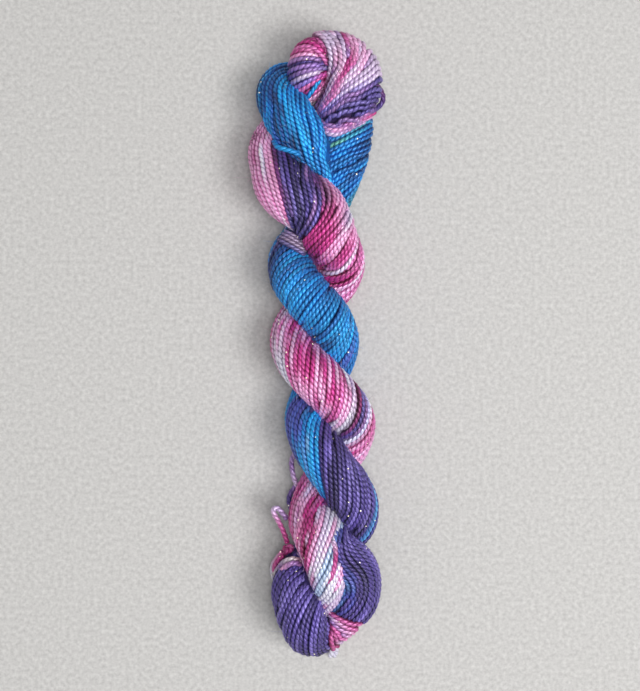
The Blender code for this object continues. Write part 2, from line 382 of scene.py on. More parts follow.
def yarn_material(name):
    shader = Shader(name)
    dye = shader.node("ShaderNodeAttribute", {"attribute_name": "dye"})
    along = shader.node("ShaderNodeAttribute", {"attribute_name": "fibre"}, output=1)
    spot = shader.node("ShaderNodeTexCoord", output=3)
    streak = shader.node("ShaderNodeTexNoise", Vector=along, Scale=2.6, Detail=3.0, Roughness=0.6)
    mottle = shader.node("ShaderNodeTexNoise", Vector=spot, Scale=420.0, Detail=2.0)
    fine = shader.node("ShaderNodeTexNoise", Vector=spot, Scale=2600.0, Detail=2.0)
    across = shader.node("ShaderNodeSeparateXYZ", output=1, Vector=along)
    ply = 1.0 - (1.0 - abs(across)) ** 3.0
    height = shader.node("ShaderNodeAttribute", {"attribute_name": "crest"}, output=2)
    crest = shader.node("ShaderNodeMapRange", {"interpolation_type": "SMOOTHSTEP"}, Value=height,
                        From_Min=VALLEY, From_Max=CREST)
    # painted shade: darker where a strand dips into the valley beside its neighbours (crest) and in the
    # crease where its two plies meet (ply); the noise is the yarn's own uneven tone
    shade = (0.74 + 0.42 * crest) * (0.68 + 0.34 * ply)
    shade = shade * (0.3 + 0.9 * streak + 0.4 * mottle + 0.3 * fine)
    grey = shader.node("ShaderNodeCombineXYZ", X=shade, Y=shade, Z=shade)
    # painted shade in the valleys: light reaches a valley through the strands beside it, so there the dye
    # counts twice
    valley_shade_factor = shader.node("ShaderNodeVectorMath", {"operation": "MULTIPLY_ADD"}, in0=dye,
                         in1=(0.76, 0.76, 0.76), in2=(0.18, 0.18, 0.18))
    valley = shader.node("ShaderNodeVectorMath", {"operation": "MULTIPLY"}, in0=dye, in1=valley_shade_factor)
    shaded = shader.mix(crest, valley, dye)
    # painted sheen: the tops of the plies lightened toward a pale blue-grey, where the streak noise is high
    sheened_colour = shader.mix(0.06 * ply * streak, shaded, PAINTED_SHEEN)
    colour = shader.node("ShaderNodeVectorMath", {"operation": "MULTIPLY"}, in0=sheened_colour, in1=grey)
    cell = {"feature": "F1", "voronoi_dimensions": "3D"}
    near = shader.node("ShaderNodeTexVoronoi", cell, Vector=spot, Scale=GLITTER_CELLS)
    pick = shader.node("ShaderNodeTexVoronoi", cell, output=1, Vector=spot, Scale=GLITTER_CELLS)
    chance = shader.node("ShaderNodeSeparateColor", Color=pick)
    # glitter threads: their own gold colour, partly a painted glint, and a painted glow through emission
    glint = (near < GLITTER_SIZE) * (chance > GLITTER_BARE)
    glittering = shader.mix(glint, colour, GLITTER_GLINT)
    bump = shader.node("ShaderNodeBump", Height=ply + streak * 0.4 + fine * 0.2, Strength=0.6,
                       Distance=0.0004)
    shader.surface(Base_Color=glittering, Roughness=0.42 - 0.14 * fine,
                   Normal=bump, Emission_Color=shader.mix(glint, BLACK, GLOW),
                   Emission_Strength=0.55, Sheen_Weight=0.04, Sheen_Roughness=0.4,
                   Specular_IOR_Level=0.4, Metallic=0.3)
    return shader.material


yarn = yarn_material("yarn")
print("the yarn's material has", len(yarn.node_tree.nodes), "nodes")

# %% [markdown]
# The tie is a length of the same yarn, knotted round the hank so that it doesn't fall open.  Its
# two free ends and its small bow loop are single strands, each along a route of its own.
# %% Tie
WHITE_TAIL = [
    (-13.2, -79.0, 13.6), (-14.9, -81.2, 12.0), (-16.5, -83.7, 9.2), (-17.2, -86.2, 6.6),
    (-17.1, -89.0, 4.1), (-16.2, -91.8, 2.2), (-14.6, -94.5, 1.2), (-12.4, -97.0, 1.0),
    (-9.8, -99.0, 1.0), (-7.0, -100.6, 1.0),
]
PINK_TAIL = [
    (-12.6, -80.1, 15.0), (-14.0, -81.2, 14.6), (-15.4, -83.0, 13.3), (-16.3, -85.2, 11.2),
    (-16.0, -87.6, 8.2), (-14.6, -89.6, 5.2), (-12.9, -91.4, 2.8), (-10.8, -93.0, 1.4),
    (-8.4, -94.2, 1.0), (-6.0, -95.0, 1.0), (-2.2, -95.8, 1.0),
]
BOW_LOOP = [
    (-11.3, -75.4, 15.2), (-12.6, -71.4, 15.6), (-14.7, -67.0, 15.9), (-16.5, -63.9, 15.9),
    (-16.2, -62.2, 15.9), (-14.6, -62.4, 15.9), (-12.7, -64.6, 15.8), (-11.5, -66.4, 15.6),
]


def loose_strand(route, dyes, seed):
    """A strand by itself along a route, dyed from one end to the other."""
    along, places = smooth(route, BEAD)
    colours = read_at(along, np.linspace(0.0, along[-1], len(dyes)), dyes)
    return Strand(places - MIDDLE, colours, seed, "loose", 0.0, np.ones(len(along)),
                  np.zeros((len(along), 3)))


white_tail = yarn_piece("tail_white", [loose_strand(WHITE_TAIL, [PINK, WHITE, WHITE, LILAC], 0.1)])
pink_tail = yarn_piece("tail_pink", [loose_strand(PINK_TAIL, [MAGENTA, PINK, PINK, LIGHT_PINK], 0.4)])
for tail, route in ((white_tail, WHITE_TAIL), (pink_tail, PINK_TAIL)):
    along, places = smooth(route, BEAD)
    print(tail.name, "is", round(along[-1], 1), "mm long")
bow = yarn_piece("bow_loop", [loose_strand(BOW_LOOP, [MAGENTA, PINK, LILAC, MAUVE], 0.7)])

# %% [markdown]
# The knot of the tie is a plain overhand knot, pulled tight.  Its path has a formula, that of a
# trefoil, so it needs no points of its own, only a centre, a size and the way that it faces.
# %% Knot
KNOT_CENTRE = Vector((-11.15, -77.75, 14.85))
KNOT_FACING = Vector((-0.62, 0.62, 0.47))
KNOT_SIZE = 1.15
knot_route = []
facing = KNOT_FACING.to_track_quat("Z", "Y")
for turn in np.linspace(0.0, 2.0 * math.pi, 60):
    curl = Vector((math.sin(turn) + 2.0 * math.sin(2.0 * turn),
                   math.cos(turn) - 2.0 * math.cos(2.0 * turn), -math.sin(3.0 * turn)))
    knot_route.append(tuple(KNOT_CENTRE + facing @ curl * KNOT_SIZE / 2.0))
knot = yarn_piece("knot", [loose_strand(knot_route, [MAGENTA, DEEP_MAGENTA, MAGENTA, PINK], 0.2)])

# %% [markdown]
# Every thick ply of the hank is a bundle of strands, and so is the opened loop.  A bundle is a tube
# of changing width, and a row of its run, in millimetres, says where its centre lies and how wide
# and how thick it is there.
# %% The bundles
Row = namedtuple("Row", "x y z across thick")
KNOB = [
    Row(-4.6, 91.6, 12.6, 3.4, 3.4), Row(-3.9, 96.7, 16.4, 6.6, 6.6),
    Row(-3.3, 103.1, 19.4, 8.2, 8.2), Row(-0.8, 108.3, 19.9, 7.5, 7.5),
    Row(4.9, 110.1, 20.2, 7.3, 7.3), Row(10.9, 107.4, 20.6, 8.6, 8.6),
    Row(14.2, 101.2, 20.6, 10.0, 10.0), Row(13.5, 94.1, 20.2, 10.0, 10.0),
    Row(9.4, 87.8, 18.4, 8.8, 8.8), Row(3.8, 84.0, 14.2, 7.4, 7.4),
    Row(-3.0, 82.1, 10.6, 7.4, 7.4), Row(-9.8, 79.7, 10.4, 8.2, 8.2),
    Row(-14.6, 74.0, 12.8, 8.7, 8.7), Row(-16.1, 66.4, 16.3, 9.3, 9.3),
    Row(-13.0, 57.6, 20.4, 10.0, 10.0),
]
FOLD = [
    Row(12.4, -98.2, 12.8, 8.7, 8.7), Row(9.0, -103.7, 9.8, 7.9, 7.9),
    Row(5.2, -107.8, 8.8, 7.1, 7.1), Row(1.7, -110.1, 11.0, 6.9, 6.9),
    Row(-1.1, -110.0, 15.8, 7.1, 7.1), Row(-3.6, -106.7, 19.5, 7.9, 7.9),
    Row(-6.2, -100.0, 20.0, 8.6, 8.6),
]
JOIN = [Row(4.4, 54.4, 12.4, 7.8, 7.4), Row(7.3, 61.8, 15.2, 7.2, 6.2)]
PALE_BUNDLE = [
    Row(-2.2, -64.0, 16.6, 7.4, 6.4), Row(0.3, -70.1, 22.2, 9.6, 8.4),
    Row(2.7, -79.5, 24.6, 8.4, 8.6), Row(4.0, -87.8, 23.4, 6.9, 7.4),
    Row(4.3, -94.1, 19.0, 4.8, 5.8), Row(3.4, -98.8, 13.4, 4.0, 4.6),
    Row(3.0, -103.2, 8.0, 4.0, 4.0),
]
BLUE_LOOP = [
    Row(7.9, 61.1, 15.0, 7.5, 5.6), Row(3.8, 66.4, 19.5, 8.2, 5.2),
    Row(-1.9, 72.4, 22.3, 9.0, 4.9), Row(-6.8, 79.1, 23.0, 9.4, 4.9),
    Row(-11.6, 86.6, 21.6, 9.4, 4.9), Row(-15.0, 94.1, 17.6, 8.2, 4.9),
    Row(-13.5, 100.1, 12.0, 6.4, 4.5), Row(-7.5, 100.6, 7.4, 6.4, 4.3),
    Row(-0.4, 95.0, 4.2, 7.8, 4.4), Row(7.5, 91.6, 4.6, 7.6, 4.4),
    Row(13.9, 88.1, 9.4, 6.8, 4.9), Row(14.2, 82.1, 14.2, 7.1, 5.2),
    Row(12.9, 75.4, 16.5, 7.5, 5.6), Row(10.9, 68.6, 16.5, 7.5, 5.6),
    Row(7.9, 61.1, 15.0, 7.5, 5.6), Row(4.4, 54.4, 12.4, 7.8, 6.4),
    Row(0.6, 47.4, 9.4, 7.8, 7.0),
]
print("rows by hand:", len(KNOB) + len(FOLD) + len(JOIN) + len(PALE_BUNDLE) + len(BLUE_LOOP))


# %% [markdown]
# Between the knob and the fold the two plies wind round each other.  Rows for each turn of each ply
# would say the same thing twice, so one table holds the twist: the rope's axis, how far the plies
# swing out, and the angle of the first ply round the axis.  The second is half a turn behind it.
# %% The rope's twist
Twist = namedtuple("Twist", "y axis spread turn")
TWIST = [
    Twist(48.0, -1.5, 7.9, 92), Twist(31.5, -0.4, 9.5, 4), Twist(0.8, -1.1, 8.0, -178),
    Twist(-29.6, 4.4, 7.9, -359), Twist(-63.8, 6.1, 7.8, -537), Twist(-91.5, 2.7, 11.4, -722),
]
PLY_RADIUS = 8.8
PLY_SQUEEZE = 0.5
AXIS_HEIGHT = 15.1
RISE = 7.5
ROWS_PER_TURN = 8
TURN_LENGTH = 61.4


def twist_at(y):
    """The twist table read at one place along the rope."""
    last = len(TWIST) - 1
    index = 0
    while index < last - 1 and y < TWIST[index + 1].y:
        index += 1
    four = [TWIST[min(max(index + offset, 0), last)] for offset in (-1, 0, 1, 2)]
    share = (TWIST[index].y - y) / (TWIST[index].y - TWIST[index + 1].y)
    return [between(*values, share) for values in list(zip(*four))[1:]]


def ply_rows(start, end, half_turn):
    """Rows of one ply from one y to another; half_turn sets which of the two plies it is."""
    count = max(1, round(abs(end - start) / TURN_LENGTH * ROWS_PER_TURN))
    rows = []
    for y in np.linspace(start, end, count + 1):
        axis, spread, turn = twist_at(y)
        angle = math.radians(turn + half_turn)
        radius = PLY_RADIUS + PLY_SQUEEZE * math.sin(angle)
        rows.append(Row(axis + spread * math.cos(angle), y,
                        AXIS_HEIGHT + RISE * math.sin(angle), radius, radius))
    return rows


top, foot = TWIST[0].y, TWIST[-1].y
ROPE = KNOB + ply_rows(top, foot, 0.0) + FOLD + ply_rows(foot, top, 180.0) + JOIN
print("the rope's centre line has", len(ROPE), "rows")

# %% [markdown]
# The lay is the angle between the strands and their bundle's own run.  The hank was twisted by
# hand, so its lay changes from lobe to lobe, and a table gives it in degrees.  Pressed side by
# side, more strands fit round a bundle when the lay is small, so some sink away as it grows.
# Here and there the yarn bulges to one side, and a second table moves the bundle there.
# %% How steeply the strands lie
# each pair: mm along the bundle, and the lay in degrees there
ROPE_LAY = [
    (0, 55), (8, 58), (16, 70), (22, 72), (27, 68), (34, 70), (40, 58), (45, 46), (50, 39), (56, 33),
    (62, 26), (72, 26), (80, 22), (88, 8), (95, 6), (100, 16), (105, 30), (112, 40), (118, 52),
    (124, 64), (135, 66), (146, 60), (158, 50), (168, 26), (178, 18), (183, 25), (188, 36), (194, 44),
    (206, 50), (212, 56), (222, 60), (232, 50), (245, 45), (255, 18), (268, 24), (274, 52), (280, 60),
    (284, 30), (289, 14), (300, 10), (308, 16), (318, 26), (330, 30), (338, 30), (343, 38), (349, 50),
    (354, 46), (360, 30), (372, 26), (386, 34), (393, 40), (400, 34), (408, 29), (414, 33), (426, 35),
    (433, 28), (438, 38), (448, 50), (458, 34), (468, 24), (474, 36), (480, 56), (485, 68), (490, 79),
    (500, 80), (506, 74), (511, 64), (517, 48), (524, 40), (540, 50), (555, 52),
]
LOOP_LAY = [
    (0, 46), (6, 38), (12, 28), (22, 21), (34, 21), (44, 24), (52, 32), (62, 44), (72, 48), (84, 40),
    (90, 34), (97, 36), (105, 42), (112, 43), (120, 42), (136, 42),
]
PALE_LAY = [(0, 30), (10, 34), (20, 34), (30, 30), (46, 20)]
# mm along the bundle, how far its middle moves to the right there, and how much wider it is
ROPE_BULGES = [
    (0, 0.0, 0.0), (66, 0.0, 0.0), (76, 1.4, 1.5), (86, 1.2, 1.4), (95, -1.0, 0.7), (105, -2.0, 2.0),
    (118, -2.2, 2.2), (127, -1.5, 1.5), (137, 0.0, 0.0), (212, 0.0, 0.0), (222, -0.4, 0.4),
    (232, -0.4, 0.4), (242, 0.0, 0.0), (286, 0.0, 0.0), (295, -0.6, 0.6), (308, -0.6, 0.6),
    (318, 0.0, 0.0), (326, 0.0, 0.0), (336, -0.9, 1.0), (346, -0.4, 0.6), (353, 0.0, 0.0),
    (360, 0.5, -0.5), (367, 0.4, -0.4), (374, 0.0, 0.0), (388, 0.3, 0.3), (404, 0.3, 0.3),
    (416, 0.0, 0.0),
]
LOOP_BULGES = [
    (0, -3.4, -6.6), (4, -2.9, -6.5), (8, -2.3, -6.0), (13, -1.7, -4.0), (18, -0.8, -1.4),
    (25, 0.0, 0.0), (86, 0.0, 0.0), (92, 1.6, 1.6), (98, 2.2, 2.2), (106, 3.0, 3.2), (112, 2.8, 3.2),
    (120, 1.2, 1.6), (128, 0.0, 0.4), (136, 0.0, 0.0),
]
NO_BULGES = [(0, 0.0, 0.0), (200, 0.0, 0.0)]
# mm along the bundle, and the width that one strand takes there
ROPE_PITCH = [(0, KNOB_STRAND), (62, KNOB_STRAND), (76, STRAND), (600, STRAND)]
EVEN_PITCH = [(0, STRAND), (200, STRAND)]
print(len(ROPE_LAY) + len(LOOP_LAY) + len(PALE_LAY), "places where the lay is given")


# %% A bundle and its frames
class Bundle:
    """A bundle's centre line, its frames, and the strands that run round it."""

    def __init__(self, name, rows, lay, pitch, bulges):
        self.name = name
        self.along, self.rows = smooth(rows, STATION)
        self.bulge(*np.array(bulges, float).T)
        self.run = unit(np.gradient(self.rows[:, :3], self.along, axis=0))
        self.flat = unit(np.cross(self.run, UP))
        self.bend = np.gradient(self.run, self.along, axis=0)
        self.width = np.interp(self.along, *np.array(pitch, float).T)
        self.wind(np.radians(np.interp(self.along, *np.array(lay, float).T)))
        # strands are read oftener along the bundle where they lie steeply across it
        step = BEAD * np.cos(np.arctan(self.steepness))
        reads = running(np.diff(self.along) / step[:-1])
        self.reads = np.interp(np.arange(int(reads[-1]) + 1), reads, self.along)

    def bulge(self, at, aside, wider):
        """Moves the centre line to one side, and widens the bundle, where the yarn bulges."""
        right = unit(np.cross(np.gradient(self.rows[:, :3], self.along, axis=0), UP))
        self.rows[:, :3] += right * np.interp(self.along, at, aside)[:, None]
        self.rows[:, 3] += np.interp(self.along, at, wider)

    def wind(self, lay):
        """Works out how many strands fit round the bundle, and how many turns they have gone."""
        across, thick = self.rows[:, 3], self.rows[:, 4]
        self.girth = np.pi * (3.0 * (across + thick)
                              - np.sqrt((3.0 * across + thick) * (across + 3.0 * thick)))
        upward = -np.cross(self.run, self.flat)
        stretch_on_top = np.clip(1.0 - across * np.sum(self.bend * upward, axis=1), 0.4, 1.8)
        most_stretch = 1.0 + across * np.linalg.norm(self.bend, axis=1)
        self.steepness = np.tan(lay) * stretch_on_top
        self.fit = self.girth * np.cos(np.arctan(self.steepness / most_stretch)) / self.width
        roll = running((self.steepness / self.girth)[:-1] * np.diff(self.along))
        self.phase = roll - self.spin() / (2.0 * np.pi) + 0.25

    def spin(self):
        """How far the level direction itself has turned about the run, in radians."""
        start, end, run = self.flat[:-1], self.flat[1:], self.run[1:]
        carried = start - run * np.sum(start * run, axis=1)[:, None]
        sine = np.sum(np.cross(carried, end) * run, axis=1)
        return running(np.arctan2(sine, np.sum(carried * end, axis=1)))

    def read(self, values):
        """Some of the bundle's values, read wherever its strands are."""
        if values.ndim == 1:
            return np.interp(self.reads, self.along, values)
        return read_at(self.reads, self.along, values)


SLOTS = 32
ORDER = np.array([int(format(slot, "05b")[::-1], 2) for slot in range(SLOTS)])
rope = Bundle("rope", ROPE, ROPE_LAY, ROPE_PITCH, ROPE_BULGES)
loop = Bundle("loop", BLUE_LOOP, LOOP_LAY, EVEN_PITCH, LOOP_BULGES)
pale = Bundle("pale", PALE_BUNDLE, PALE_LAY, EVEN_PITCH, NO_BULGES)
BUNDLES = [rope, loop, pale]
for bundle in BUNDLES:
    print(bundle.name, round(bundle.along[-1]), "mm long,", len(bundle.reads), "reads,",
          round(bundle.fit.min(), 1), "to", round(bundle.fit.max(), 1), "strands round it")

# %% [markdown]
# In some places the strands leave their bundle's even twist.  They spread like a fan over the knob
# and under the fold, a few of another colour lie across the second ply, and the blue of the loop
# shows in the knob's eye.  Those are laid one by one.  Each guide is one strand seen from above, from
# its outer end inward, with its dyes, and there is room for several strands from guide to guide.
# %% Fans
Guide = namedtuple("Guide", "points dyes")
KNOB_GUIDES = [
    Guide([(-0.8, 116.0), (3.1, 112.9), (5.3, 108.1), (5.7, 103.2), (4.6, 98.3), (2.2, 92.8),
           (-0.2, 86.9)], [LIGHT_PINK, LILAC, LILAC, LIGHT_PINK, MAUVE]),
    Guide([(4.9, 116.0), (8.6, 112.0), (9.7, 106.9), (8.6, 101.1), (6.0, 95.6), (2.9, 90.4),
           (0.2, 86.1)], [MAUVE, LILAC, LIGHT_PINK, LILAC, MAUVE]),
    Guide([(11.8, 114.6), (14.0, 110.7), (13.7, 106.3), (11.4, 101.4), (7.9, 96.3), (3.9, 90.7),
           (0.5, 85.7)], [LIGHT_PINK, LIGHT_PINK, MAGENTA, PINK, MAUVE]),
    Guide([(17.7, 111.3), (17.7, 107.3), (15.2, 103.2), (11.2, 98.0), (6.3, 92.5), (2.9, 88.8),
           (0.7, 85.4)], [LILAC, LIGHT_PINK, LILAC, PINK, MAUVE]),
    Guide([(21.7, 106.5), (19.6, 103.2), (15.6, 99.0), (10.8, 94.9), (6.3, 90.9), (3.2, 88.0),
           (0.9, 85.2)], [LILAC, LILAC, MAUVE]),
    Guide([(23.4, 101.6), (20.5, 98.7), (16.3, 95.9), (11.5, 93.2), (7.0, 90.1), (3.9, 87.4),
           (1.1, 85.0)], [LILAC, LILAC, LAVENDER]),
    Guide([(24.3, 96.9), (21.1, 94.9), (17.0, 93.2), (12.2, 91.3), (7.7, 89.0), (4.3, 86.9),
           (1.3, 84.7)], [LAVENDER, PURPLE, MAUVE, PURPLE]),
    Guide([(24.1, 93.2), (21.5, 91.8), (17.7, 90.7), (12.9, 89.6), (8.4, 88.0), (4.6, 86.3),
           (1.4, 84.5)], [PURPLE, LAVENDER, PURPLE, PURPLE]),
    Guide([(22.7, 90.1), (19.1, 88.9), (14.9, 88.3), (10.8, 87.5), (7.0, 86.5), (3.9, 85.4),
           (1.3, 84.1)], [PLUM, PURPLE, LAVENDER, PURPLE]),
    Guide([(21.1, 87.4), (17.7, 85.9), (13.6, 85.2), (9.4, 84.7), (5.6, 84.4), (3.2, 84.0),
           (1.0, 83.6)], [PLUM, MAUVE, PURPLE, PURPLE]),
    Guide([(19.6, 85.9), (15.8, 84.2), (12.2, 83.2), (8.4, 82.5), (4.9, 82.3), (2.9, 82.3),
           (0.9, 82.6)], [PINK, MAUVE, PURPLE]),
    Guide([(17.7, 84.5), (14.4, 82.3), (11.4, 80.7), (8.4, 80.1), (5.3, 80.5), (3.2, 81.1),
           (1.3, 81.6)], [LIGHT_PINK, LILAC, MAUVE]),
    Guide([(14.9, 82.8), (12.5, 80.4), (9.8, 78.7), (7.0, 78.3), (4.4, 79.0), (2.9, 79.8), (1.5, 80.7)],
          [LILAC, LIGHT_PINK, LILAC]),
]
FOLD_GUIDES = [
    Guide([(16.8, -105.4), (13.5, -105.3), (9.0, -103.5), (5.2, -101.5)], [MAGENTA, PINK, PINK]),
    Guide([(15.6, -108.3), (12.6, -107.6), (9.0, -105.3), (5.3, -102.4)], [PINK, PINK, LILAC]),
    Guide([(14.1, -110.6), (11.6, -109.6), (8.6, -107.0), (5.5, -103.4)], [MAGENTA, LIGHT_PINK, MAUVE]),
    Guide([(11.8, -112.8), (9.9, -111.2), (8.0, -108.3), (5.6, -104.7)], [LIGHT_PINK, PINK, PINK]),
    Guide([(9.8, -114.4), (8.6, -112.8), (7.1, -109.6), (5.7, -106.0)], [LIGHT_PINK, LILAC, PINK]),
    Guide([(8.0, -116.2), (7.3, -114.5), (6.5, -111.2), (5.7, -107.3)], [MAGENTA, MAGENTA, PINK]),
    Guide([(6.5, -116.6), (6.1, -114.8), (5.7, -111.9), (5.4, -108.6)], [DEEP_MAGENTA, MAGENTA, PINK]),
]
PATCH_GUIDES = [
    Guide([(-14.1, 39.0), (-11.0, 37.1), (-7.9, 35.3), (-4.5, 33.3)],
          [LAVENDER, PALE_VIOLET, PALE_VIOLET]),
    Guide([(-13.0, 40.7), (-9.8, 39.0), (-6.4, 37.0), (-3.3, 35.2)], [PALE_VIOLET, LILAC, LILAC]),
    Guide([(-11.5, 42.3), (-8.3, 40.5), (-5.1, 38.6), (-2.1, 37.0)], [PALE_VIOLET, LILAC, LILAC]),
    Guide([(-10.2, 43.6), (-7.3, 42.2), (-4.3, 40.5), (-1.3, 39.0)], [LAVENDER, PALE_VIOLET, LILAC]),
]
EYE_GUIDES = [
    Guide([(1.3, 98.3), (-0.8, 95.1), (-3.2, 92.2), (-4.5, 90.7)], [BRIGHT_BLUE, BRIGHT_BLUE, BLUE]),
    Guide([(2.8, 98.0), (1.0, 94.3), (-1.5, 90.7), (-3.0, 88.7)], [SKY, BRIGHT_BLUE, BLUE]),
    Guide([(4.3, 97.5), (2.5, 93.4), (0.3, 89.3), (-1.2, 87.2)], [BRIGHT_BLUE, BRIGHT_BLUE, BLUE]),
]
ROPE_ENDS = 546.0           # from here on the loop's own strands go on
Fan = namedtuple("Fan", "name guides stations pitch packed deep rim")
FANS = [
    Fan("knob_fan", KNOB_GUIDES, (20, 70), KNOB_STRAND, 0.4, 0.9, True),
    Fan("fold_fan", FOLD_GUIDES, (300, 334), STRAND, 0.2, 0.5, True),
    Fan("patch", PATCH_GUIDES, (505, 540), 1.15, 0.0, -1.3, False),
    Fan("eye", EYE_GUIDES, (0, 14), STRAND, 0.0, 0.5, False),
]
# the rope's strands are hidden by a fan from start to end along it, to the right of left, and
# below a line across the hank that starts so high at x = 0 and has this slope
Cover = namedtuple("Cover", "start end left high slope")
COVERS = [Cover(24.5, 66.0, -99.0, 999.0, 0.0), Cover(303.0, 331.0, 4.7, -99.3, -0.35)]


def covered(bundle, places):
    """Which places of a bundle's strands lie under a fan, or where the loop takes over."""
    under = np.zeros(places.shape[:2], bool)
    if bundle is rope:
        under |= rope.reads > ROPE_ENDS
        x, y = places[..., 0], places[..., 1]
        for cover in COVERS:
            here = (rope.reads > cover.start) & (rope.reads < cover.end)
            under |= here & (x > cover.left) & (y < cover.high + cover.slope * x)
    return under


print(sum(len(fan.guides) for fan in FANS), "guides in", len(FANS), "fans")

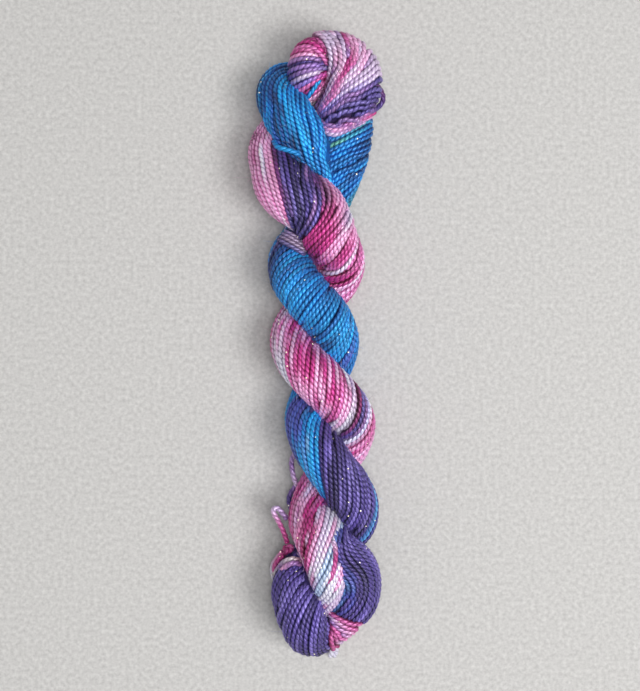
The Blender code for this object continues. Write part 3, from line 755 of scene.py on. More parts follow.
# %% [markdown]
# A chart says where each dye lies.  Its row names the dyes of the strand that crosses the top of
# its bundle there: before it comes over the top, on top, and after.  An accent dye takes a share of
# the strands, in short stretches.  Painting the strands one by one would take a thousand rows.
# %% Charts of the dyes
Dye = namedtuple("Dye", "at before over after accent share", defaults=[0.3])
ROPE_DYES = [
    Dye(0, MAGENTA, LIGHT_PINK, MAGENTA, WHITE),
    Dye(5, LIGHT_PINK, MAGENTA, PINK, LIGHT_PINK, 0.35),
    Dye(8, LIGHT_PINK, PINK, MAGENTA, LIGHT_PINK),
    Dye(9.5, MAGENTA, MAGENTA, MAGENTA, PINK),
    Dye(10.8, MAGENTA, LAVENDER, MAGENTA, LAVENDER),
    Dye(12.3, LAVENDER, LILAC, LAVENDER, LILAC, 0.4),
    Dye(14, PURPLE, MAUVE, LAVENDER, PURPLE),
    Dye(16, DARK_PURPLE, PURPLE, PURPLE, MAUVE),
    Dye(17.5, PINK, LIGHT_PINK, PINK, LIGHT_PINK),
    Dye(19, PINK, LIGHT_PINK, MAGENTA, LILAC),
    Dye(20.5, MAGENTA, MAGENTA, MAGENTA, PINK),
    Dye(24, DEEP_MAGENTA, MAGENTA, MAGENTA, PINK),
    Dye(27, LILAC, LILAC, LIGHT_PINK, PINK),
    Dye(48, LIGHT_PINK, LIGHT_PINK, LIGHT_PINK, PINK, 0.4),
    Dye(58, LIGHT_PINK, LIGHT_PINK, LIGHT_PINK, WHITE, 0.25),
    Dye(62, PINK, LIGHT_PINK, PINK, WHITE),
    Dye(67, PINK, PINK, MAGENTA, LIGHT_PINK, 0.35),
    Dye(69.5, PLUM, PLUM, PURPLE, MAUVE),
    Dye(80, PLUM, DARK_PURPLE, DARK_PURPLE, MAUVE),
    Dye(92, PURPLE, PURPLE, PURPLE, LAVENDER, 0.35),
    Dye(97, PURPLE, PURPLE, PURPLE, LAVENDER, 0.35),
    Dye(103, PURPLE, LAVENDER, LAVENDER, PLUM, 0.35),
    Dye(108, PLUM, PURPLE, PURPLE, LAVENDER),
    Dye(113, DARK_PURPLE, DARK_PURPLE, PURPLE, LAVENDER),
    Dye(118, DARK_PURPLE, PURPLE, PURPLE, MAUVE),
    Dye(121, PLUM, PURPLE, PURPLE, LAVENDER),
    Dye(122.5, LIGHT_PINK, MAGENTA, MAGENTA, PLUM, 0.2),
    Dye(126, LIGHT_PINK, MAGENTA, MAGENTA, PLUM),
    Dye(129, LILAC, MAGENTA, MAGENTA, WHITE, 0.2),
    Dye(132, LIGHT_PINK, LIGHT_PINK, MAGENTA, PINK),
    Dye(135, LIGHT_PINK, MAGENTA, PINK, LIGHT_PINK, 0.35),
    Dye(138, LIGHT_PINK, PINK, PINK, WHITE, 0.25),
    Dye(141, LIGHT_PINK, MAGENTA, MAGENTA, PINK),
    Dye(145, PINK, MAGENTA, MAGENTA, DEEP_MAGENTA),
    Dye(149, LIGHT_PINK, MAGENTA, MAGENTA, PINK),
    Dye(151.5, LIGHT_PINK, LIGHT_PINK, PINK, WHITE),
    Dye(158, LIGHT_PINK, LIGHT_PINK, WHITE, PINK),
    Dye(168, LIGHT_PINK, PINK, WHITE, MAGENTA, 0.25),
    Dye(174, MAGENTA, MAGENTA, PINK, LIGHT_PINK),
    Dye(178, MAGENTA, PINK, LIGHT_PINK, WHITE, 0.4),
    Dye(182, MAGENTA, LIGHT_PINK, WHITE, PINK, 0.35),
    Dye(187, MAGENTA, WHITE, LIGHT_PINK, PINK, 0.4),
    Dye(190, MAGENTA, PINK, LIGHT_PINK, WHITE, 0.4),
    Dye(193, MAGENTA, MAGENTA, LIGHT_PINK, LIGHT_PINK, 0.4),
    Dye(197, DEEP_MAGENTA, MAGENTA, LIGHT_PINK, PINK, 0.4),
    Dye(201, MAGENTA, MAGENTA, PINK, LIGHT_PINK, 0.4),
    Dye(204, MAGENTA, MAGENTA, LIGHT_PINK, LIGHT_PINK, 0.4),
    Dye(208, MAGENTA, MAGENTA, PINK, LIGHT_PINK, 0.4),
    Dye(211, MAGENTA, PINK, MAGENTA, WHITE, 0.4),
    Dye(213.5, DEEP_MAGENTA, LIGHT_PINK, WHITE, WHITE, 0.4),
    Dye(216, MAGENTA, WHITE, WHITE, LILAC),
    Dye(218.5, PLUM, PLUM, DARK_PURPLE, DEEP_MAGENTA),
    Dye(222, LAVENDER, PURPLE, PURPLE, PLUM),
    Dye(225, LAVENDER, LAVENDER, PURPLE, MAUVE),
    Dye(227, WHITE, WHITE, LAVENDER, LILAC),
    Dye(231, WHITE, PINK, PINK, MAGENTA),
    Dye(236, PINK, LIGHT_PINK, PINK, MAGENTA, 0.4),
    Dye(244, LIGHT_PINK, LILAC, PINK, LIGHT_PINK, 0.4),
    Dye(252, PINK, MAGENTA, PINK, LIGHT_PINK, 0.35),
    Dye(261, MAGENTA, MAGENTA, MAGENTA, LIGHT_PINK, 0.35),
    Dye(268, LIGHT_PINK, MAGENTA, MAGENTA, LIGHT_PINK, 0.4),
    Dye(273, PURPLE, MAGENTA, MAGENTA, PINK, 0.2),
    Dye(276, PURPLE, PURPLE, VIOLET_BLUE, PURPLE, 0.2),
    Dye(278.5, PURPLE, STEEL_BLUE, STEEL_BLUE, VIOLET_BLUE),
    Dye(281.5, PURPLE, STEEL_BLUE, STEEL_BLUE, VIOLET_BLUE),
    Dye(284, PURPLE, PURPLE, VIOLET_BLUE, VIOLET_BLUE),
    Dye(287, PURPLE, PURPLE, VIOLET_BLUE, DARK_PURPLE),
    Dye(292, PURPLE, PURPLE, PURPLE, LAVENDER, 0.45),
    Dye(300, PURPLE, PURPLE, PURPLE, LAVENDER, 0.45),
    Dye(308, PURPLE, PURPLE, PURPLE, DARK_PURPLE, 0.25),
    Dye(328, PURPLE, PURPLE, PURPLE, LAVENDER),
    Dye(336, DARK_PURPLE, PURPLE, PURPLE, LAVENDER),
    Dye(345, PURPLE, PURPLE, DARK_PURPLE, LAVENDER, 0.35),
    Dye(354, PURPLE, PURPLE, DARK_PURPLE, LAVENDER),
    Dye(357, PURPLE, PURPLE, PURPLE, LAVENDER),
    Dye(360, PURPLE, PURPLE, VIOLET_BLUE, LAVENDER, 0.2),
    Dye(362, PURPLE, PURPLE, SKY, PURPLE, 0.0),
    Dye(370, PURPLE, PURPLE, BRIGHT_BLUE, PURPLE, 0.0),
    Dye(374, PURPLE, PURPLE, PURPLE, LAVENDER, 0.2),
    Dye(384, PURPLE, PURPLE, PURPLE, LAVENDER),
    Dye(394, PURPLE, PURPLE, PURPLE, DARK_PURPLE, 0.35),
    Dye(402, DARK_PURPLE, PURPLE, PURPLE, LAVENDER, 0.35),
    Dye(410, DARK_PURPLE, PURPLE, PURPLE, LAVENDER),
    Dye(417, DARK_PURPLE, DARK_PURPLE, PURPLE, LAVENDER),
    Dye(423, DARK_PURPLE, DARK_PURPLE, DARK_PURPLE, PURPLE, 0.4),
    Dye(424.6, BRIGHT_BLUE, BRIGHT_BLUE, BRIGHT_BLUE, BLUE),
    Dye(433, BRIGHT_BLUE, BRIGHT_BLUE, BLUE, SKY, 0.25),
    Dye(437, BLUE, BLUE, BLUE, SKY, 0.2),
    Dye(439, BRIGHT_BLUE, VIOLET_BLUE, BLUE, BLUE, 0.2),
    Dye(444, BRIGHT_BLUE, VIOLET_BLUE, BLUE, VIOLET_BLUE),
    Dye(450, VIOLET_BLUE, VIOLET_BLUE, BLUE, DEEP_BLUE, 0.2),
    Dye(462, VIOLET_BLUE, BLUE, BLUE, DEEP_BLUE, 0.2),
    Dye(465, BLUE, BLUE, BLUE, BRIGHT_BLUE),
    Dye(470, BLUE, BLUE, BRIGHT_BLUE, BRIGHT_BLUE, 0.4),
    Dye(484, BLUE, BRIGHT_BLUE, BLUE, DEEP_BLUE),
    Dye(494, BRIGHT_BLUE, BLUE, DEEP_BLUE, BLUE),
    Dye(502, BRIGHT_BLUE, BLUE, DEEP_BLUE, BRIGHT_BLUE),
    Dye(508, BLUE, BRIGHT_BLUE, BLUE, DEEP_BLUE, 0.35),
    Dye(513, DEEP_BLUE, BLUE, BRIGHT_BLUE, NAVY, 0.35),
    Dye(517, NAVY, NAVY, NAVY, BLUE, 0.35),
    Dye(521, NAVY, DEEP_BLUE, MAUVE, NAVY),
    Dye(526, NAVY, MAUVE, MAUVE, LAVENDER),
    Dye(533, BLUE, MAUVE, MAUVE, NAVY),
    Dye(543, BLUE, BLUE, BLUE, TEAL, 0.2),
    Dye(555, BLUE, BLUE, BLUE, BRIGHT_BLUE, 0.2),
]
LOOP_DYES = [
    Dye(0, TEAL, BLUE, BLUE, BRIGHT_BLUE),
    Dye(10, BRIGHT_BLUE, BLUE, BRIGHT_BLUE, BRIGHT_BLUE),
    Dye(25, BLUE, BRIGHT_BLUE, BLUE, BRIGHT_BLUE, 0.4),
    Dye(34, BLUE, BRIGHT_BLUE, BLUE, DEEP_BLUE, 0.35),
    Dye(40, BLUE, BRIGHT_BLUE, DEEP_BLUE, DEEP_BLUE),
    Dye(44, BLUE, BLUE, DEEP_BLUE, NAVY, 0.4),
    Dye(48, DEEP_BLUE, NAVY, DEEP_BLUE, BLUE, 0.4),
    Dye(54, BLUE, NAVY, NAVY, BLUE, 0.4),
    Dye(58, BLUE, NAVY, DEEP_BLUE, DEEP_BLUE),
    Dye(64, BRIGHT_BLUE, DEEP_BLUE, BLUE, DEEP_BLUE, 0.35),
    Dye(70, BRIGHT_BLUE, BLUE, BLUE, DEEP_BLUE),
    Dye(76, BLUE, BRIGHT_BLUE, BRIGHT_BLUE, BLUE),
    Dye(88, BLUE, BLUE, DEEP_BLUE, BRIGHT_BLUE),
    Dye(98, BLUE, BLUE, DEEP_BLUE, BRIGHT_BLUE),
    Dye(102, BLUE, TEAL, BLUE, GREEN, 0.15),
    Dye(104.5, DEEP_BLUE, BLUE, DEEP_BLUE, BLUE),
    Dye(112, DEEP_BLUE, BLUE, BLUE, DEEP_BLUE, 0.35),
    Dye(120, DEEP_BLUE, BLUE, BLUE, BRIGHT_BLUE),
    Dye(127, BLUE, TEAL, BLUE, BRIGHT_BLUE),
    Dye(136, TEAL, BLUE, BLUE, TEAL),
]
PALE_DYES = [
    Dye(0, PINK, MAGENTA, MAGENTA, LIGHT_PINK),
    Dye(5, LIGHT_PINK, MAGENTA, MAGENTA, LIGHT_PINK, 0.35),
    Dye(8, LILAC, MAGENTA, MAGENTA, LILAC, 0.4),
    Dye(11, LILAC, LIGHT_PINK, PINK, LILAC, 0.4),
    Dye(14, WHITE, LILAC, LIGHT_PINK, WHITE, 0.4),
    Dye(18, WHITE, WHITE, LILAC, LIGHT_PINK, 0.25),
    Dye(21, WHITE, WHITE, WHITE, PALE_BLUE, 0.4),
    Dye(25, LILAC, WHITE, WHITE, PALE_BLUE),
    Dye(28, LILAC, WHITE, LILAC, LIGHT_PINK, 0.25),
    Dye(32, LILAC, WHITE, LILAC, LIGHT_PINK, 0.25),
    Dye(45, LILAC, LILAC, WHITE, PINK, 0.2),
]
CHARTS = {"rope": ROPE_DYES, "loop": LOOP_DYES, "pale": PALE_DYES}
print(sum(len(chart) for chart in CHARTS.values()), "rows of charts")

# %% [markdown]
# All strands of one bundle are worked out at once, in rows of a table with a slot for each.  A
# strand takes part only while the bundle has room for it.  Slots join in an order that keeps the
# strands evenly spread, as the numbers 0, 16, 8, 24 do in a row of 32.
# %% Smooth chance
def soft_step(low, high, values):
    """From 0 at one value to 1 at another, without a corner."""
    share = np.clip((values - low) / (high - low), 0.0, 1.0)
    return share * share * (3.0 - 2.0 * share)


def stretches(count, length, along):
    """Smooth random values from 0 to 1 for each strand, which change over about such a length."""
    values = rng.random((count, int(along[-1] / length) + 3))
    place = along / length + rng.random((count, 1))
    index = place.astype(int)
    share = soft_step(0.0, 1.0, place - index)
    start = np.take_along_axis(values, index, axis=1)
    return start * (1.0 - share) + np.take_along_axis(values, index + 1, axis=1) * share


def eased(values, along, reach):
    """Values smoothed over some millimetres along a bundle, whatever the spacing of its reads."""
    even = np.arange(0.0, along[-1] + 0.5, 0.5)
    weights = np.exp(-(np.arange(-3.0 * reach, 3.0 * reach + 0.1, 0.5) / reach) ** 2)
    weights /= weights.sum()
    smoothed = []
    for line in np.atleast_2d(values):
        padded = np.pad(np.interp(even, along, line), len(weights) // 2, mode="edge")
        smoothed.append(np.interp(along, even, np.convolve(padded, weights, "valid")))
    return np.array(smoothed)


print("a quarter of the way, a soft step has come", round(float(soft_step(0.0, 1.0, 0.25)), 2), "of it")

# %% Strands round a bundle
Groove = namedtuple("Groove", "at depth width")
ROPE_GROOVES = [Groove(121.5, 1.5, 1.6), Groove(217.3, 1.2, 1.4), Groove(424.0, 1.5, 1.6),
                Groove(24.2, 1.4, 1.2), Groove(17.2, 0.8, 0.8)]
DEPTH = 0.92                # a strand's centre lies this far under its bundle's surface
WANDER = 0.4                # of a strand's width, to one side or the other
UNEVEN = 0.35               # mm that strands lie higher or lower than their neighbours
CROWDED_SINK = 1.2          # mm that a strand sinks where a bend leaves no room for it
SPARE_SINK = 1.3            # mm that a strand sinks where its slot ends
UNDER_RIM = 0.5             # how far round its bundle a fan hides a strand, on the outer side


def turns_of(bundle):
    """How much of each slot's strand is there, and how many turns it has gone round."""
    fit = eased(bundle.read(bundle.fit), bundle.reads, 5.0)[0]
    here = np.clip(fit[None, :] - ORDER[:, None], 0.0, 1.0)
    place = (np.cumsum(here, axis=0) - here / 2.0) / here.sum(axis=0)
    wander = (stretches(SLOTS, 14.0, bundle.reads) - 0.5) * WANDER / fit
    return here, bundle.read(bundle.phase)[None, :] + eased(place + wander, bundle.reads, 3.0)


def crossings(bundle, turns):
    """Where each strand crosses the bundle's top, and how many turns past it each read is."""
    climb = np.maximum.accumulate(turns, axis=1) + np.arange(turns.shape[1]) * 1e-7
    nearest = np.round(turns)
    cross = np.stack([np.interp(nearest[slot], climb[slot], bundle.reads) for slot in range(SLOTS)])
    return cross, turns - nearest


def angles_of(turns, rows):
    """Turns as angles, which differ from them where the section is flat."""
    circle = np.linspace(0.0, 2.0 * np.pi, 97)
    angle = np.empty_like(turns)
    share = (turns - 0.25) % 1.0
    for read, (across, thick) in enumerate(rows[:, 3:]):
        out = 1.0 / np.hypot(np.cos(circle) / across, np.sin(circle) / thick)
        gone = running(np.hypot(np.diff(out * np.cos(circle)), np.diff(out * np.sin(circle))))
        angle[:, read] = np.interp(share[:, read], gone / gone[-1], circle)
    return angle


def sinking(bundle, here, cross, stretch):
    """How far each strand lies under the rest, in mm."""
    lay = np.arctan(bundle.read(bundle.steepness) / stretch)
    room = bundle.read(bundle.girth) * np.cos(lay) / bundle.read(bundle.width)
    crowded = 1.0 - np.clip(room - ORDER[:, None] + 0.5, 0.0, 1.0)
    sink = CROWDED_SINK * crowded + SPARE_SINK * (1.0 - here)
    for groove in ROPE_GROOVES if bundle is rope else ():
        sink = sink + groove.depth * np.exp(-((cross - groove.at) / groove.width) ** 2)
    return sink + (stretches(SLOTS, 9.0, bundle.reads) - 0.5) * UNEVEN


def strands_of(bundle):
    """Where every strand of a bundle runs, where it crosses the bundle's top, and its outward side."""
    here, turns = turns_of(bundle)
    cross, past_top = crossings(bundle, turns)
    rows = bundle.read(bundle.rows)
    angle = angles_of(turns, rows)
    run = unit(bundle.read(bundle.run))
    flat = bundle.read(bundle.flat)
    flat = unit(flat - run * np.sum(run * flat, axis=1)[:, None])
    away = np.cos(angle)[..., None] * flat + np.sin(angle)[..., None] * np.cross(run, flat)
    reach = 1.0 / np.hypot(np.cos(angle) / rows[:, 3], np.sin(angle) / rows[:, 4])
    stretch = np.maximum(0.15, 1.0 - reach * np.sum(away * bundle.read(bundle.bend), axis=-1))
    sink = sinking(bundle, here, cross, stretch)
    out = reach - DEPTH * bundle.read(bundle.width) / STRAND - sink
    places = rows[:, :3] + away * out[..., None]
    places[..., 2] = np.maximum(places[..., 2], STRAND / 2.0 - 0.1)
    places -= MIDDLE
    rim = np.where(np.cos(angle) < 0.0, UNDER_RIM, -0.05)
    upper = (np.sin(angle) < rim) | (bundle.reads > ROPE_ENDS)[None, :]
    here = np.where(covered(bundle, places) & upper, 0.0, here)
    return places, cross, past_top, here, away


laid = {bundle.name: strands_of(bundle) for bundle in BUNDLES}
print("strands read at", sum(part[0].shape[0] * part[0].shape[1] for part in laid.values()), "places")

# %% [markdown]
# The chart is read where each strand crosses the top, and a strand may wander a little from its
# row, so that no two dyes meet in a straight line.  Its depth of dye changes too, and most of all
# in the dark dyes, as it does on yarn that was painted and then wound.
# %% Dyeing the strands
DYE_WANDER = 1.6            # mm along the bundle
TOP = (0.05, 0.16)          # turns past the top, between which one dye gives way to the next
ACCENT = 6.5                # mm, about how long a stretch of an accent dye is
DYE_RUN = 1.2               # mm over which dyes run together


def dyed(bundle, cross, past_top):
    """The dye of every read of every strand."""
    chart = CHARTS[bundle.name]
    at = np.array([row.at for row in chart], float)
    cross = cross + (stretches(SLOTS, 6.0, bundle.reads) - 0.5) * DYE_WANDER
    index = np.clip(np.searchsorted(at, cross) - 1, 0, len(at) - 2)
    share = soft_step(0.2, 0.8, (cross - at[index]) / (at[index + 1] - at[index]))[..., None]
    side = past_top + (stretches(SLOTS, 8.0, bundle.reads) - 0.5) * 0.09
    after = soft_step(*TOP, side)[..., None]
    before = soft_step(*TOP, -side)[..., None]
    accent = stretches(SLOTS, ACCENT, bundle.reads)
    column = {key: np.array([getattr(row, key) for row in chart]) for key in Dye._fields}
    mixes = []
    for row in (index, index + 1):
        colour = column["over"][row] * (1.0 - after - before) + column["after"][row] * after
        colour = colour + column["before"][row] * before
        mixed = soft_step(-0.12, 0.12, accent - (1.0 - column["share"][row]))[..., None]
        mixes.append(colour * (1.0 - mixed) + column["accent"][row] * mixed)
    colour = mixes[0] * (1.0 - share) + mixes[1] * share
    channels = [eased(colour[..., channel], bundle.reads, DYE_RUN) for channel in range(3)]
    colour = np.stack(channels, axis=-1)
    depth = 0.62 + 0.72 * stretches(SLOTS, 5.0, bundle.reads)
    depth = 1.0 + (depth - 1.0) * (1.0 - 0.9 * colour.mean(axis=-1))
    return np.clip(colour * depth[..., None], 0.0, 1.0)


print("an accent dye lasts for about", ACCENT, "mm of a strand at a time")

# %% [markdown]
# On the real hank a strand goes out of sight wherever another ply lies over it.  A Boolean could
# cut the strands there, but it would be slow and leave open ends.  So each strand is asked how
# deep it lies inside the other bundles, or inside another turn of its own, and is kept where it
# shows.
# %% What shows
UNDER = 1.7                 # mm inside another bundle, from where a strand is covered
NEIGHBOUR = 22.0            # mm along its own bundle that count as the same turn
SHORTEST = 7                # reads in the shortest stretch that is kept


def depth_in(places, at, owner, bundle):
    """How deep each place lies inside one bundle, in mm; at says where on its own bundle it is."""
    away = places[:, None, :] - (bundle.rows[:, :3] - MIDDLE)[None, :, :]
    distance = np.linalg.norm(away, axis=2)
    if owner is bundle:
        apart = np.abs(at[:, None] - bundle.along[None, :])
        distance = np.where(apart < NEIGHBOUR, 1e6, distance)
    if bundle is rope:
        distance = np.where(bundle.along[None, :] > ROPE_ENDS, 1e6, distance)
    nearest = np.argmin(distance - bundle.rows[None, :, 3], axis=1)
    away = away[np.arange(len(places)), nearest]
    flat, across, thick = bundle.flat[nearest], bundle.rows[nearest, 3], bundle.rows[nearest, 4]
    level = np.sum(away * flat, axis=1) / across
    height = np.linalg.norm(np.cross(flat, away), axis=1) / thick
    inside = (1.0 - np.hypot(level, height)) * (across + thick) / 2.0
    return np.where(distance.min(axis=1) < 1e5, inside, -9.0)


def seen_strands(bundle):
    """The stretches of a bundle's strands that nothing covers."""
    places, cross, past_top, here, away = laid[bundle.name]
    colours = dyed(bundle, cross, past_top)
    thickness = bundle.read(bundle.width) / STRAND
    seen = []
    for slot in range(SLOTS):
        shows = here[slot] > 0.02
        for other in BUNDLES:
            shows &= depth_in(places[slot], bundle.reads, bundle, other) < UNDER
        edges = np.flatnonzero(np.diff(np.concatenate([[0], shows.astype(int), [0]])))
        for start, end in zip(edges[::2], edges[1::2]):
            if end - start >= SHORTEST:
                seen.append(Strand(places[slot, start:end], colours[slot, start:end], rng.random(),
                                   bundle.name, bundle.reads[(start + end) // 2],
                                   thickness[start:end], away[slot, start:end]))
    return seen


strands = sum([seen_strands(bundle) for bundle in BUNDLES], [])
length = sum(lengths(strand.places)[-1] for strand in strands)
print(len(strands), "stretches of strand show,", round(length / 1000.0, 1), "m in all,",
      sum(len(strand.places) for strand in strands), "reads")

# %% [markdown]
# A fan's strands lie evenly between its guides, as many as there is room for at each step inward,
# and its bundle's own roundness gives their height.  The outer ends go on over the bundle's widest
# part and down its side, so that the fan is whole from the side too.
# %% Strands of the fans
FAN_STEPS = 70
FINE_STEP = 0.4                             # mm, how finely the guides are read
RIM_STEP = 8                                # the step inward that counts as the fan's rim
OVER_RIM = (-44.0, -33.0, -20.0, -8.0)      # degrees below the widest part, for the outer ends
TUCK = 1.2                                  # mm that an end dips under the other strands
RIM_TUCK = 1.3                              # and at the rim
FAN_DEPTH = 0.9                             # mm that a strand's centre lies under the bundle's surface


def fan_height(spots, body):
    """The top of a round bundle over each spot."""
    apart = np.linalg.norm(spots[:, None, :] - body[None, :, :2], axis=2)
    rise = np.sqrt(np.maximum(body[None, :, 3] ** 2 - apart ** 2, 0.0))
    height = np.where(apart < body[None, :, 3], body[None, :, 2] + rise, -1.0)
    outside = body[np.argmin(apart - body[None, :, 3], axis=1), 2]
    return np.maximum(height.max(axis=1), outside)


def read_guides(fan):
    """The guides at even steps inward, and the smooth line across them at each step."""
    guides = []
    for guide in fan.guides:
        along, points = smooth([(*point, 0.0) for point in guide.points], FINE_STEP)
        guides.append(read_at(np.linspace(0.0, along[-1], FAN_STEPS), along, points[:, :2]))
    guides = np.array(guides)
    fronts = [smooth([(*spot, 0.0) for spot in guides[:, step]], FINE_STEP) for step in range(FAN_STEPS)]
    guides_at = np.vstack([np.zeros(FAN_STEPS),
                           np.cumsum(np.linalg.norm(np.diff(guides, axis=0), axis=2), axis=0)])
    return fronts, guides_at / guides_at[-1]


def over_the_rim(spot, body):
    """Places down the side of the bundle, outward from a fan's first spot."""
    nearest = body[np.argmin(np.linalg.norm(body[:, :2] - spot, axis=1))]
    outward = unit(spot - nearest[:2])
    places = []
    for low in OVER_RIM:
        reach = nearest[3] - FAN_DEPTH - (RIM_TUCK if low == OVER_RIM[0] else 0.0)
        x, y = nearest[:2] + outward * reach * math.cos(math.radians(low))
        places.append((x, y, max(0.8, nearest[2] + reach * math.sin(math.radians(low)))))
    return places


def fan_route(fan, spots, height, body):
    """The points that a fan's strand goes through, its ends tucked under the rest."""
    route = np.column_stack([spots, height])
    route[-1, 2] -= TUCK
    if fan.rim:
        return np.vstack([over_the_rim(spots[0], body), route[3::6], route[-1:]])
    route[0, 2] -= TUCK
    return np.vstack([route[::8], route[-1:]])


def fan_strands(fan):
    """The strands of a fan, from under the rim to their inner ends."""
    body = rope.rows[fan.stations[0]:fan.stations[1]].copy()
    body[:, :3] -= MIDDLE
    fronts, guides_at = read_guides(fan)
    packed = 1.0 - fan.packed * np.linspace(0.0, 1.0, FAN_STEPS)
    fit = np.array([along[-1] for along, _ in fronts]) / (fan.pitch * packed)
    here = np.clip(fit[None, :] - ORDER[:, None], 0.0, 1.0)
    place = (np.cumsum(here, axis=0) - here / 2.0 - 0.5) / (here.sum(axis=0) - 1.0)
    place = eased(np.clip(place, 0.0, 1.0), np.arange(FAN_STEPS) * 0.5, 2.0)
    number = np.arange(len(fan.guides))
    made = []
    for slot in np.flatnonzero(here[:, RIM_STEP] > 0.5):
        which = np.interp(place[slot], guides_at[:, RIM_STEP], number)
        spots = []
        for step, (along, points) in enumerate(fronts):
            at = np.interp(which[step], number, guides_at[:, step]) * along[-1]
            spots.append([np.interp(at, along, column) for column in points.T[:2]])
        spots = np.array(spots)
        height = fan_height(spots, body) - fan.deep - 2.4 * (1.0 - here[slot]) - 0.4 * rng.random()
        kept = max(12, int((here[slot] > 0.15).sum()))
        along, places = smooth(fan_route(fan, spots[:kept], height[:kept], body), BEAD)
        nearest = round(which[RIM_STEP] + rng.uniform(-0.25, 0.25))
        dyes = fan.guides[int(np.clip(nearest, 0, len(fan.guides) - 1))].dyes
        stops = np.linspace(0.15, 0.9, len(dyes)) * along[-1] + rng.uniform(-2.0, 2.0)
        apart = np.linalg.norm(places[:, None, :] - body[None, :, :3], axis=2)
        outward = unit(places - body[np.argmin(apart, axis=1), :3])
        colours = read_at(along, stops, dyes) * rng.uniform(0.72, 1.02)
        made.append(Strand(places, colours, rng.random(), fan.name, 0.0,
                           np.full(len(along), max(0.82, fan.pitch / STRAND)), outward))
    print(fan.name, len(made), "strands")
    return made


fans = {fan.name: fan_strands(fan) for fan in FANS}

# %% [markdown]
# No hand-wound hank is tidy.  A few strands have slipped out of place and are laid one by one, and
# short hairs stand off all over, each a strand as thin as a fibre on a short curved route.
# %% Strays and fuzz
Stray = namedtuple("Stray", "part route dyes")
STRAYS = [
    Stray("loop_strands", [(-16.2, 75.6, 22), (-14.9, 73.1, 25.5), (-12.3, 72.0, 27), (-8.6, 70.9, 27),
           (-5.3, 69.4, 24.5)], [BLUE, BRIGHT_BLUE, BLUE]),
    Stray("knob_strands", [(18.1, 98.9, 26), (20.8, 97.3, 24), (23.7, 94.8, 21), (24.7, 91.6, 19),
           (23.0, 88.8, 19), (19.7, 86.5, 22), (16.7, 85.0, 24)], [PURPLE, PLUM, PURPLE, MAUVE]),
    Stray("knob_strands", [(21.7, 86.9, 19), (18.2, 84.7, 21.5), (13.7, 82.6, 23), (9.2, 81.3, 23),
           (4.7, 81.3, 23), (1.0, 83.2, 21)], [MAGENTA, PINK, MAUVE, MAUVE]),
    Stray("knob_strands", [(20.2, 85.5, 18), (16.0, 83.0, 21), (11.5, 80.8, 22.5), (7.4, 79.6, 22.8),
           (3.6, 80.3, 22), (0.3, 82.6, 20)], [LIGHT_PINK, MAUVE, LIGHT_PINK, MAUVE]),
    Stray("knob_strands", [(17.6, 83.5, 18), (13.4, 81.1, 20.5), (9.6, 79.0, 22), (6.2, 78.0, 22.3),
           (2.9, 79.1, 21), (-0.1, 81.6, 19)], [LILAC, MAUVE, LILAC, MAUVE]),
    Stray("pale_strands", [(-7.8, -40.8, 7), (-9.7, -44.2, 8), (-9.7, -47.5, 9), (-8.9, -51.3, 9),
           (-7.4, -55.2, 8), (-5.5, -58.9, 6)], [LILAC, MAUVE, LILAC, MAUVE]),
    Stray("pale_strands", [(-7.0, -53.3, 8), (-9.7, -56.4, 8), (-10.8, -59.5, 8), (-10.1, -62.9, 8),
           (-8.2, -66.2, 6)], [MAUVE, PURPLE, MAUVE]),
    Stray("pale_strands", [(5.8, -72.7, 31), (6.7, -76.3, 32), (6.5, -80.3, 32.2), (5.6, -84.7, 31.7),
           (4.0, -89.6, 29)], [LILAC, MAGENTA, PINK, MAGENTA]),
    Stray("second_ply_end", [(-4.6, -82.7, 17), (-8.0, -80.9, 19.5), (-11.0, -81.2, 19.5),
           (-13.7, -83.5, 16.5), (-16.1, -87.6, 12)], [PINK, CREAM, MAUVE, CREAM]),
    Stray("second_ply_end", [(-5.0, -84.4, 18), (-7.6, -82.2, 21), (-10.2, -82.5, 21.5),
           (-12.5, -84.3, 19), (-14.9, -87.5, 15)], [PINK, MAUVE, LIGHT_PINK, MAUVE]),
    Stray("first_ply_end", [(4.1, -111.6, 9), (5.2, -114.5, 8), (5.8, -117.6, 6), (4.9, -120.3, 4)],
          [LILAC, WHITE, WHITE]),
    Stray("first_ply_end", [(6.0, -112.6, 8), (6.8, -115.5, 7), (7.2, -118.1, 5), (6.4, -120.4, 3)],
          [LIGHT_PINK, WHITE, WHITE]),
]
HAIRS = 650
HAIR_READS = 6
HAIR = 0.045                # of a strand's thickness


def hair_on(strand):
    """A short curved hair that stands off a strand."""
    at = int(rng.integers(2, len(strand.places) - 2))
    start = strand.places[at]
    centres = np.vstack([bundle.rows[:, :3] for bundle in BUNDLES]) - MIDDLE
    outward = unit(start - centres[np.argmin(np.linalg.norm(centres - start, axis=1))])
    lean = unit(outward + rng.normal(0.0, 0.6, 3))
    curl = rng.normal(0.0, 0.5, 3)
    share = np.linspace(0.0, 1.0, HAIR_READS)[:, None]
    places = start + outward * 0.5 + (lean * share + curl * share ** 2) * rng.uniform(1.5, 3.6)
    places[:, 2] = np.maximum(places[:, 2], 0.3)
    colours = np.tile(strand.colours[at] * 0.6 + 0.3, (HAIR_READS, 1))
    return Strand(places, colours, rng.random(), "fuzz", 0.0, np.full(HAIR_READS, HAIR),
                  np.zeros((HAIR_READS, 3)))


every = strands + sum(fans.values(), [])
weight = np.array([len(strand.places) for strand in every], float)
hairs = [hair_on(every[index]) for index in rng.choice(len(every), HAIRS, p=weight / weight.sum())]
print(len(STRAYS), "strays and", len(hairs), "hairs")

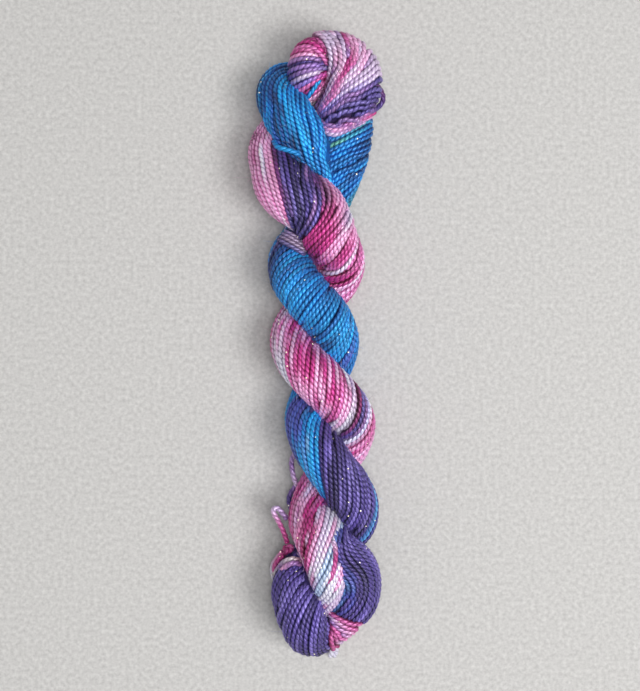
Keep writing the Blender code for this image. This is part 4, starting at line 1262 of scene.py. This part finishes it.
# %% [markdown]
# The strands are joined into pieces, one for each lobe or two of the hank, because a thousand
# objects are slow to handle and one huge mesh is hard to look into.
# %% Pieces of the hank
Part = namedtuple("Part", "name bundle start end")
PARTS = [
    Part("knob_strands", "rope", 0, 72), Part("first_ply_upper", "rope", 72, 165),
    Part("first_ply_lower", "rope", 165, 262), Part("first_ply_end", "rope", 262, 330),
    Part("second_ply_end", "rope", 330, 388), Part("second_ply_lower", "rope", 388, 460),
    Part("second_ply_upper", "rope", 460, 560), Part("loop_strands", "loop", 0, 200),
    Part("pale_strands", "pale", 0, 100),
]
FAN_PARTS = {"knob_strands": ("knob_fan", "eye"), "second_ply_upper": ("patch",),
             "first_ply_end": ("fold_fan",)}
pieces = []
for part in PARTS:
    chosen = [strand for strand in strands
              if strand.bundle == part.bundle and part.start <= strand.middle < part.end]
    for name in FAN_PARTS.get(part.name, ()):
        chosen += fans[name]
    chosen += [loose_strand(stray.route, stray.dyes, 0.17 * number)
               for number, stray in enumerate(STRAYS) if stray.part == part.name]
    pieces.append(yarn_piece(part.name, chosen))
pieces.append(yarn_piece("fuzz", hairs))

# %% [markdown]
# Deep in a real hank lies more yarn, in the dark.  Strands down there would double the mesh and
# hardly show, so a core stands for them.  It is the frame's solid, drawn in under the strands and
# dyed like the yarn over it but darker, as painted shade, so that no light comes through between
# them.
# %% Core
CORE_DEPTH = 0.5            # mm under the middles of the strands
CORE_SHADE = 0.14
above_places = np.vstack([strand.places for strand in every])
above_dyes = np.vstack([strand.colours for strand in every])
above = KDTree(len(above_places))
for index, place in enumerate(above_places):
    above.insert(place, index)
above.balance()
hank_mesh = bmesh.new()
hank_mesh.from_mesh(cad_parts["hank"].data)
bmesh.ops.remove_doubles(hank_mesh, verts=hank_mesh.verts, dist=1e-6)
hank_mesh.normal_update()
core_shaded_dyes, moves = [], []
for vertex in hank_mesh.verts:
    near = [index for _, index, _ in above.find_n(vertex.co / MM, 12)]
    height = np.percentile((above_places[near] - np.array(vertex.co) / MM) @ np.array(vertex.normal), 20)
    moves.append(vertex.normal * float(np.clip(height - CORE_DEPTH, -6.0, 5.0)) * MM)
    dye = above_dyes[near].mean(axis=0)
    # painted shade: the dye of the yarn above, darkened, the more so the darker the dye
    core_shaded_dyes.append([*(dye * (CORE_SHADE + 0.4 * dye)), 1.0])
for vertex, move in zip(hank_mesh.verts, moves):
    vertex.co += move
bmesh.ops.smooth_vert(hank_mesh, verts=hank_mesh.verts, factor=0.3, use_axis_x=True,
                      use_axis_y=True, use_axis_z=True)
for vertex in hank_mesh.verts:
    vertex.co.z = max(vertex.co.z, 0.4 * MM)
core_data = bpy.data.meshes.new("core")
hank_mesh.to_mesh(core_data)
hank_mesh.free()
add_attribute(core_data, "dye", "FLOAT_COLOR", "color", core_shaded_dyes)
core_data.shade_smooth()
core = bpy.data.objects.new("core", core_data)
scene.collection.objects.link(core)
shadow = Shader("deep_yarn")
shadow.surface(Base_Color=shadow.node("ShaderNodeAttribute", {"attribute_name": "dye"}), Roughness=0.95)
core_data.materials.append(shadow.material)
pieces.append(core)
print("the core has", len(core_data.polygons), "faces")

# %% [markdown]
# Every piece rides on the object's only body, and the plain solid of the frame that it stands for
# is hidden.
# %% Ride, and what stands for what
for piece in pieces:
    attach(piece, "root")
    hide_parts("hank")
for piece, node, slot in ((knot, "tie_knot", "tie_yarn_pink"), (bow, "tie_loop", "tie_yarn_pale"),
                          (white_tail, "tie_tail_white", "tie_yarn_pale"),
                          (pink_tail, "tie_tail_pink", "tie_yarn_pink")):
    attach(piece, "root")
    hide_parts(node)
bpy.data.objects.remove(outline)
print(len(pieces) + 4, "pieces ride on the root")

# %% [markdown]
# The hank lies on pale, faintly mottled paper.  One large lamp stands to the side like a window,
# and a weak one hangs above, so the shadows are soft and the beads of the yarn still stand out.
# %% Floor and light
STUDIO_STRENGTH = 0.31
paper = Shader("paper")
place = paper.node("ShaderNodeTexCoord", output=3)
cloud = paper.node("ShaderNodeTexNoise", Vector=place, Scale=650.0, Detail=3.0, Roughness=0.6)
tone = paper.mix(cloud, (*linear(164, 162, 160), 1.0), (*linear(232, 230, 227), 1.0))
paper.surface(Base_Color=tone, Roughness=0.9)
bpy.ops.mesh.primitive_plane_add(size=2.0, location=(0.0, 0.0, 0.0))
floor = bpy.context.object
floor.name = "floor"
floor.data.materials.append(paper.material)

world = bpy.data.worlds.new("studio")
scene.world = world
world.use_nodes = True
world.node_tree.nodes["Background"].inputs["Color"].default_value = (0.98, 0.99, 1.0, 1.0)
world.node_tree.nodes["Background"].inputs["Strength"].default_value = STUDIO_STRENGTH
Lamp = namedtuple("Lamp", "name place size power")
LAMPS = [
    Lamp("window", (0.9, -0.43, 1.55), 0.75, 20.0),
    Lamp("ceiling", (0.08, -0.05, 1.05), 0.3, 3.4),
]
for lamp in LAMPS:
    light_data = bpy.data.lights.new(lamp.name, "AREA")
    light_data.shape = "SQUARE"
    light_data.size = lamp.size
    light_data.energy = lamp.power
    light = bpy.data.objects.new(lamp.name, light_data)
    scene.collection.objects.link(light)
    light.location = lamp.place
    light.rotation_euler = (Vector((0, 0, 0)) - light.location).to_track_quat("-Z", "Y").to_euler()
    print(lamp.name, "lamp of", lamp.power, "W")
scene.view_settings.view_transform = "Standard"
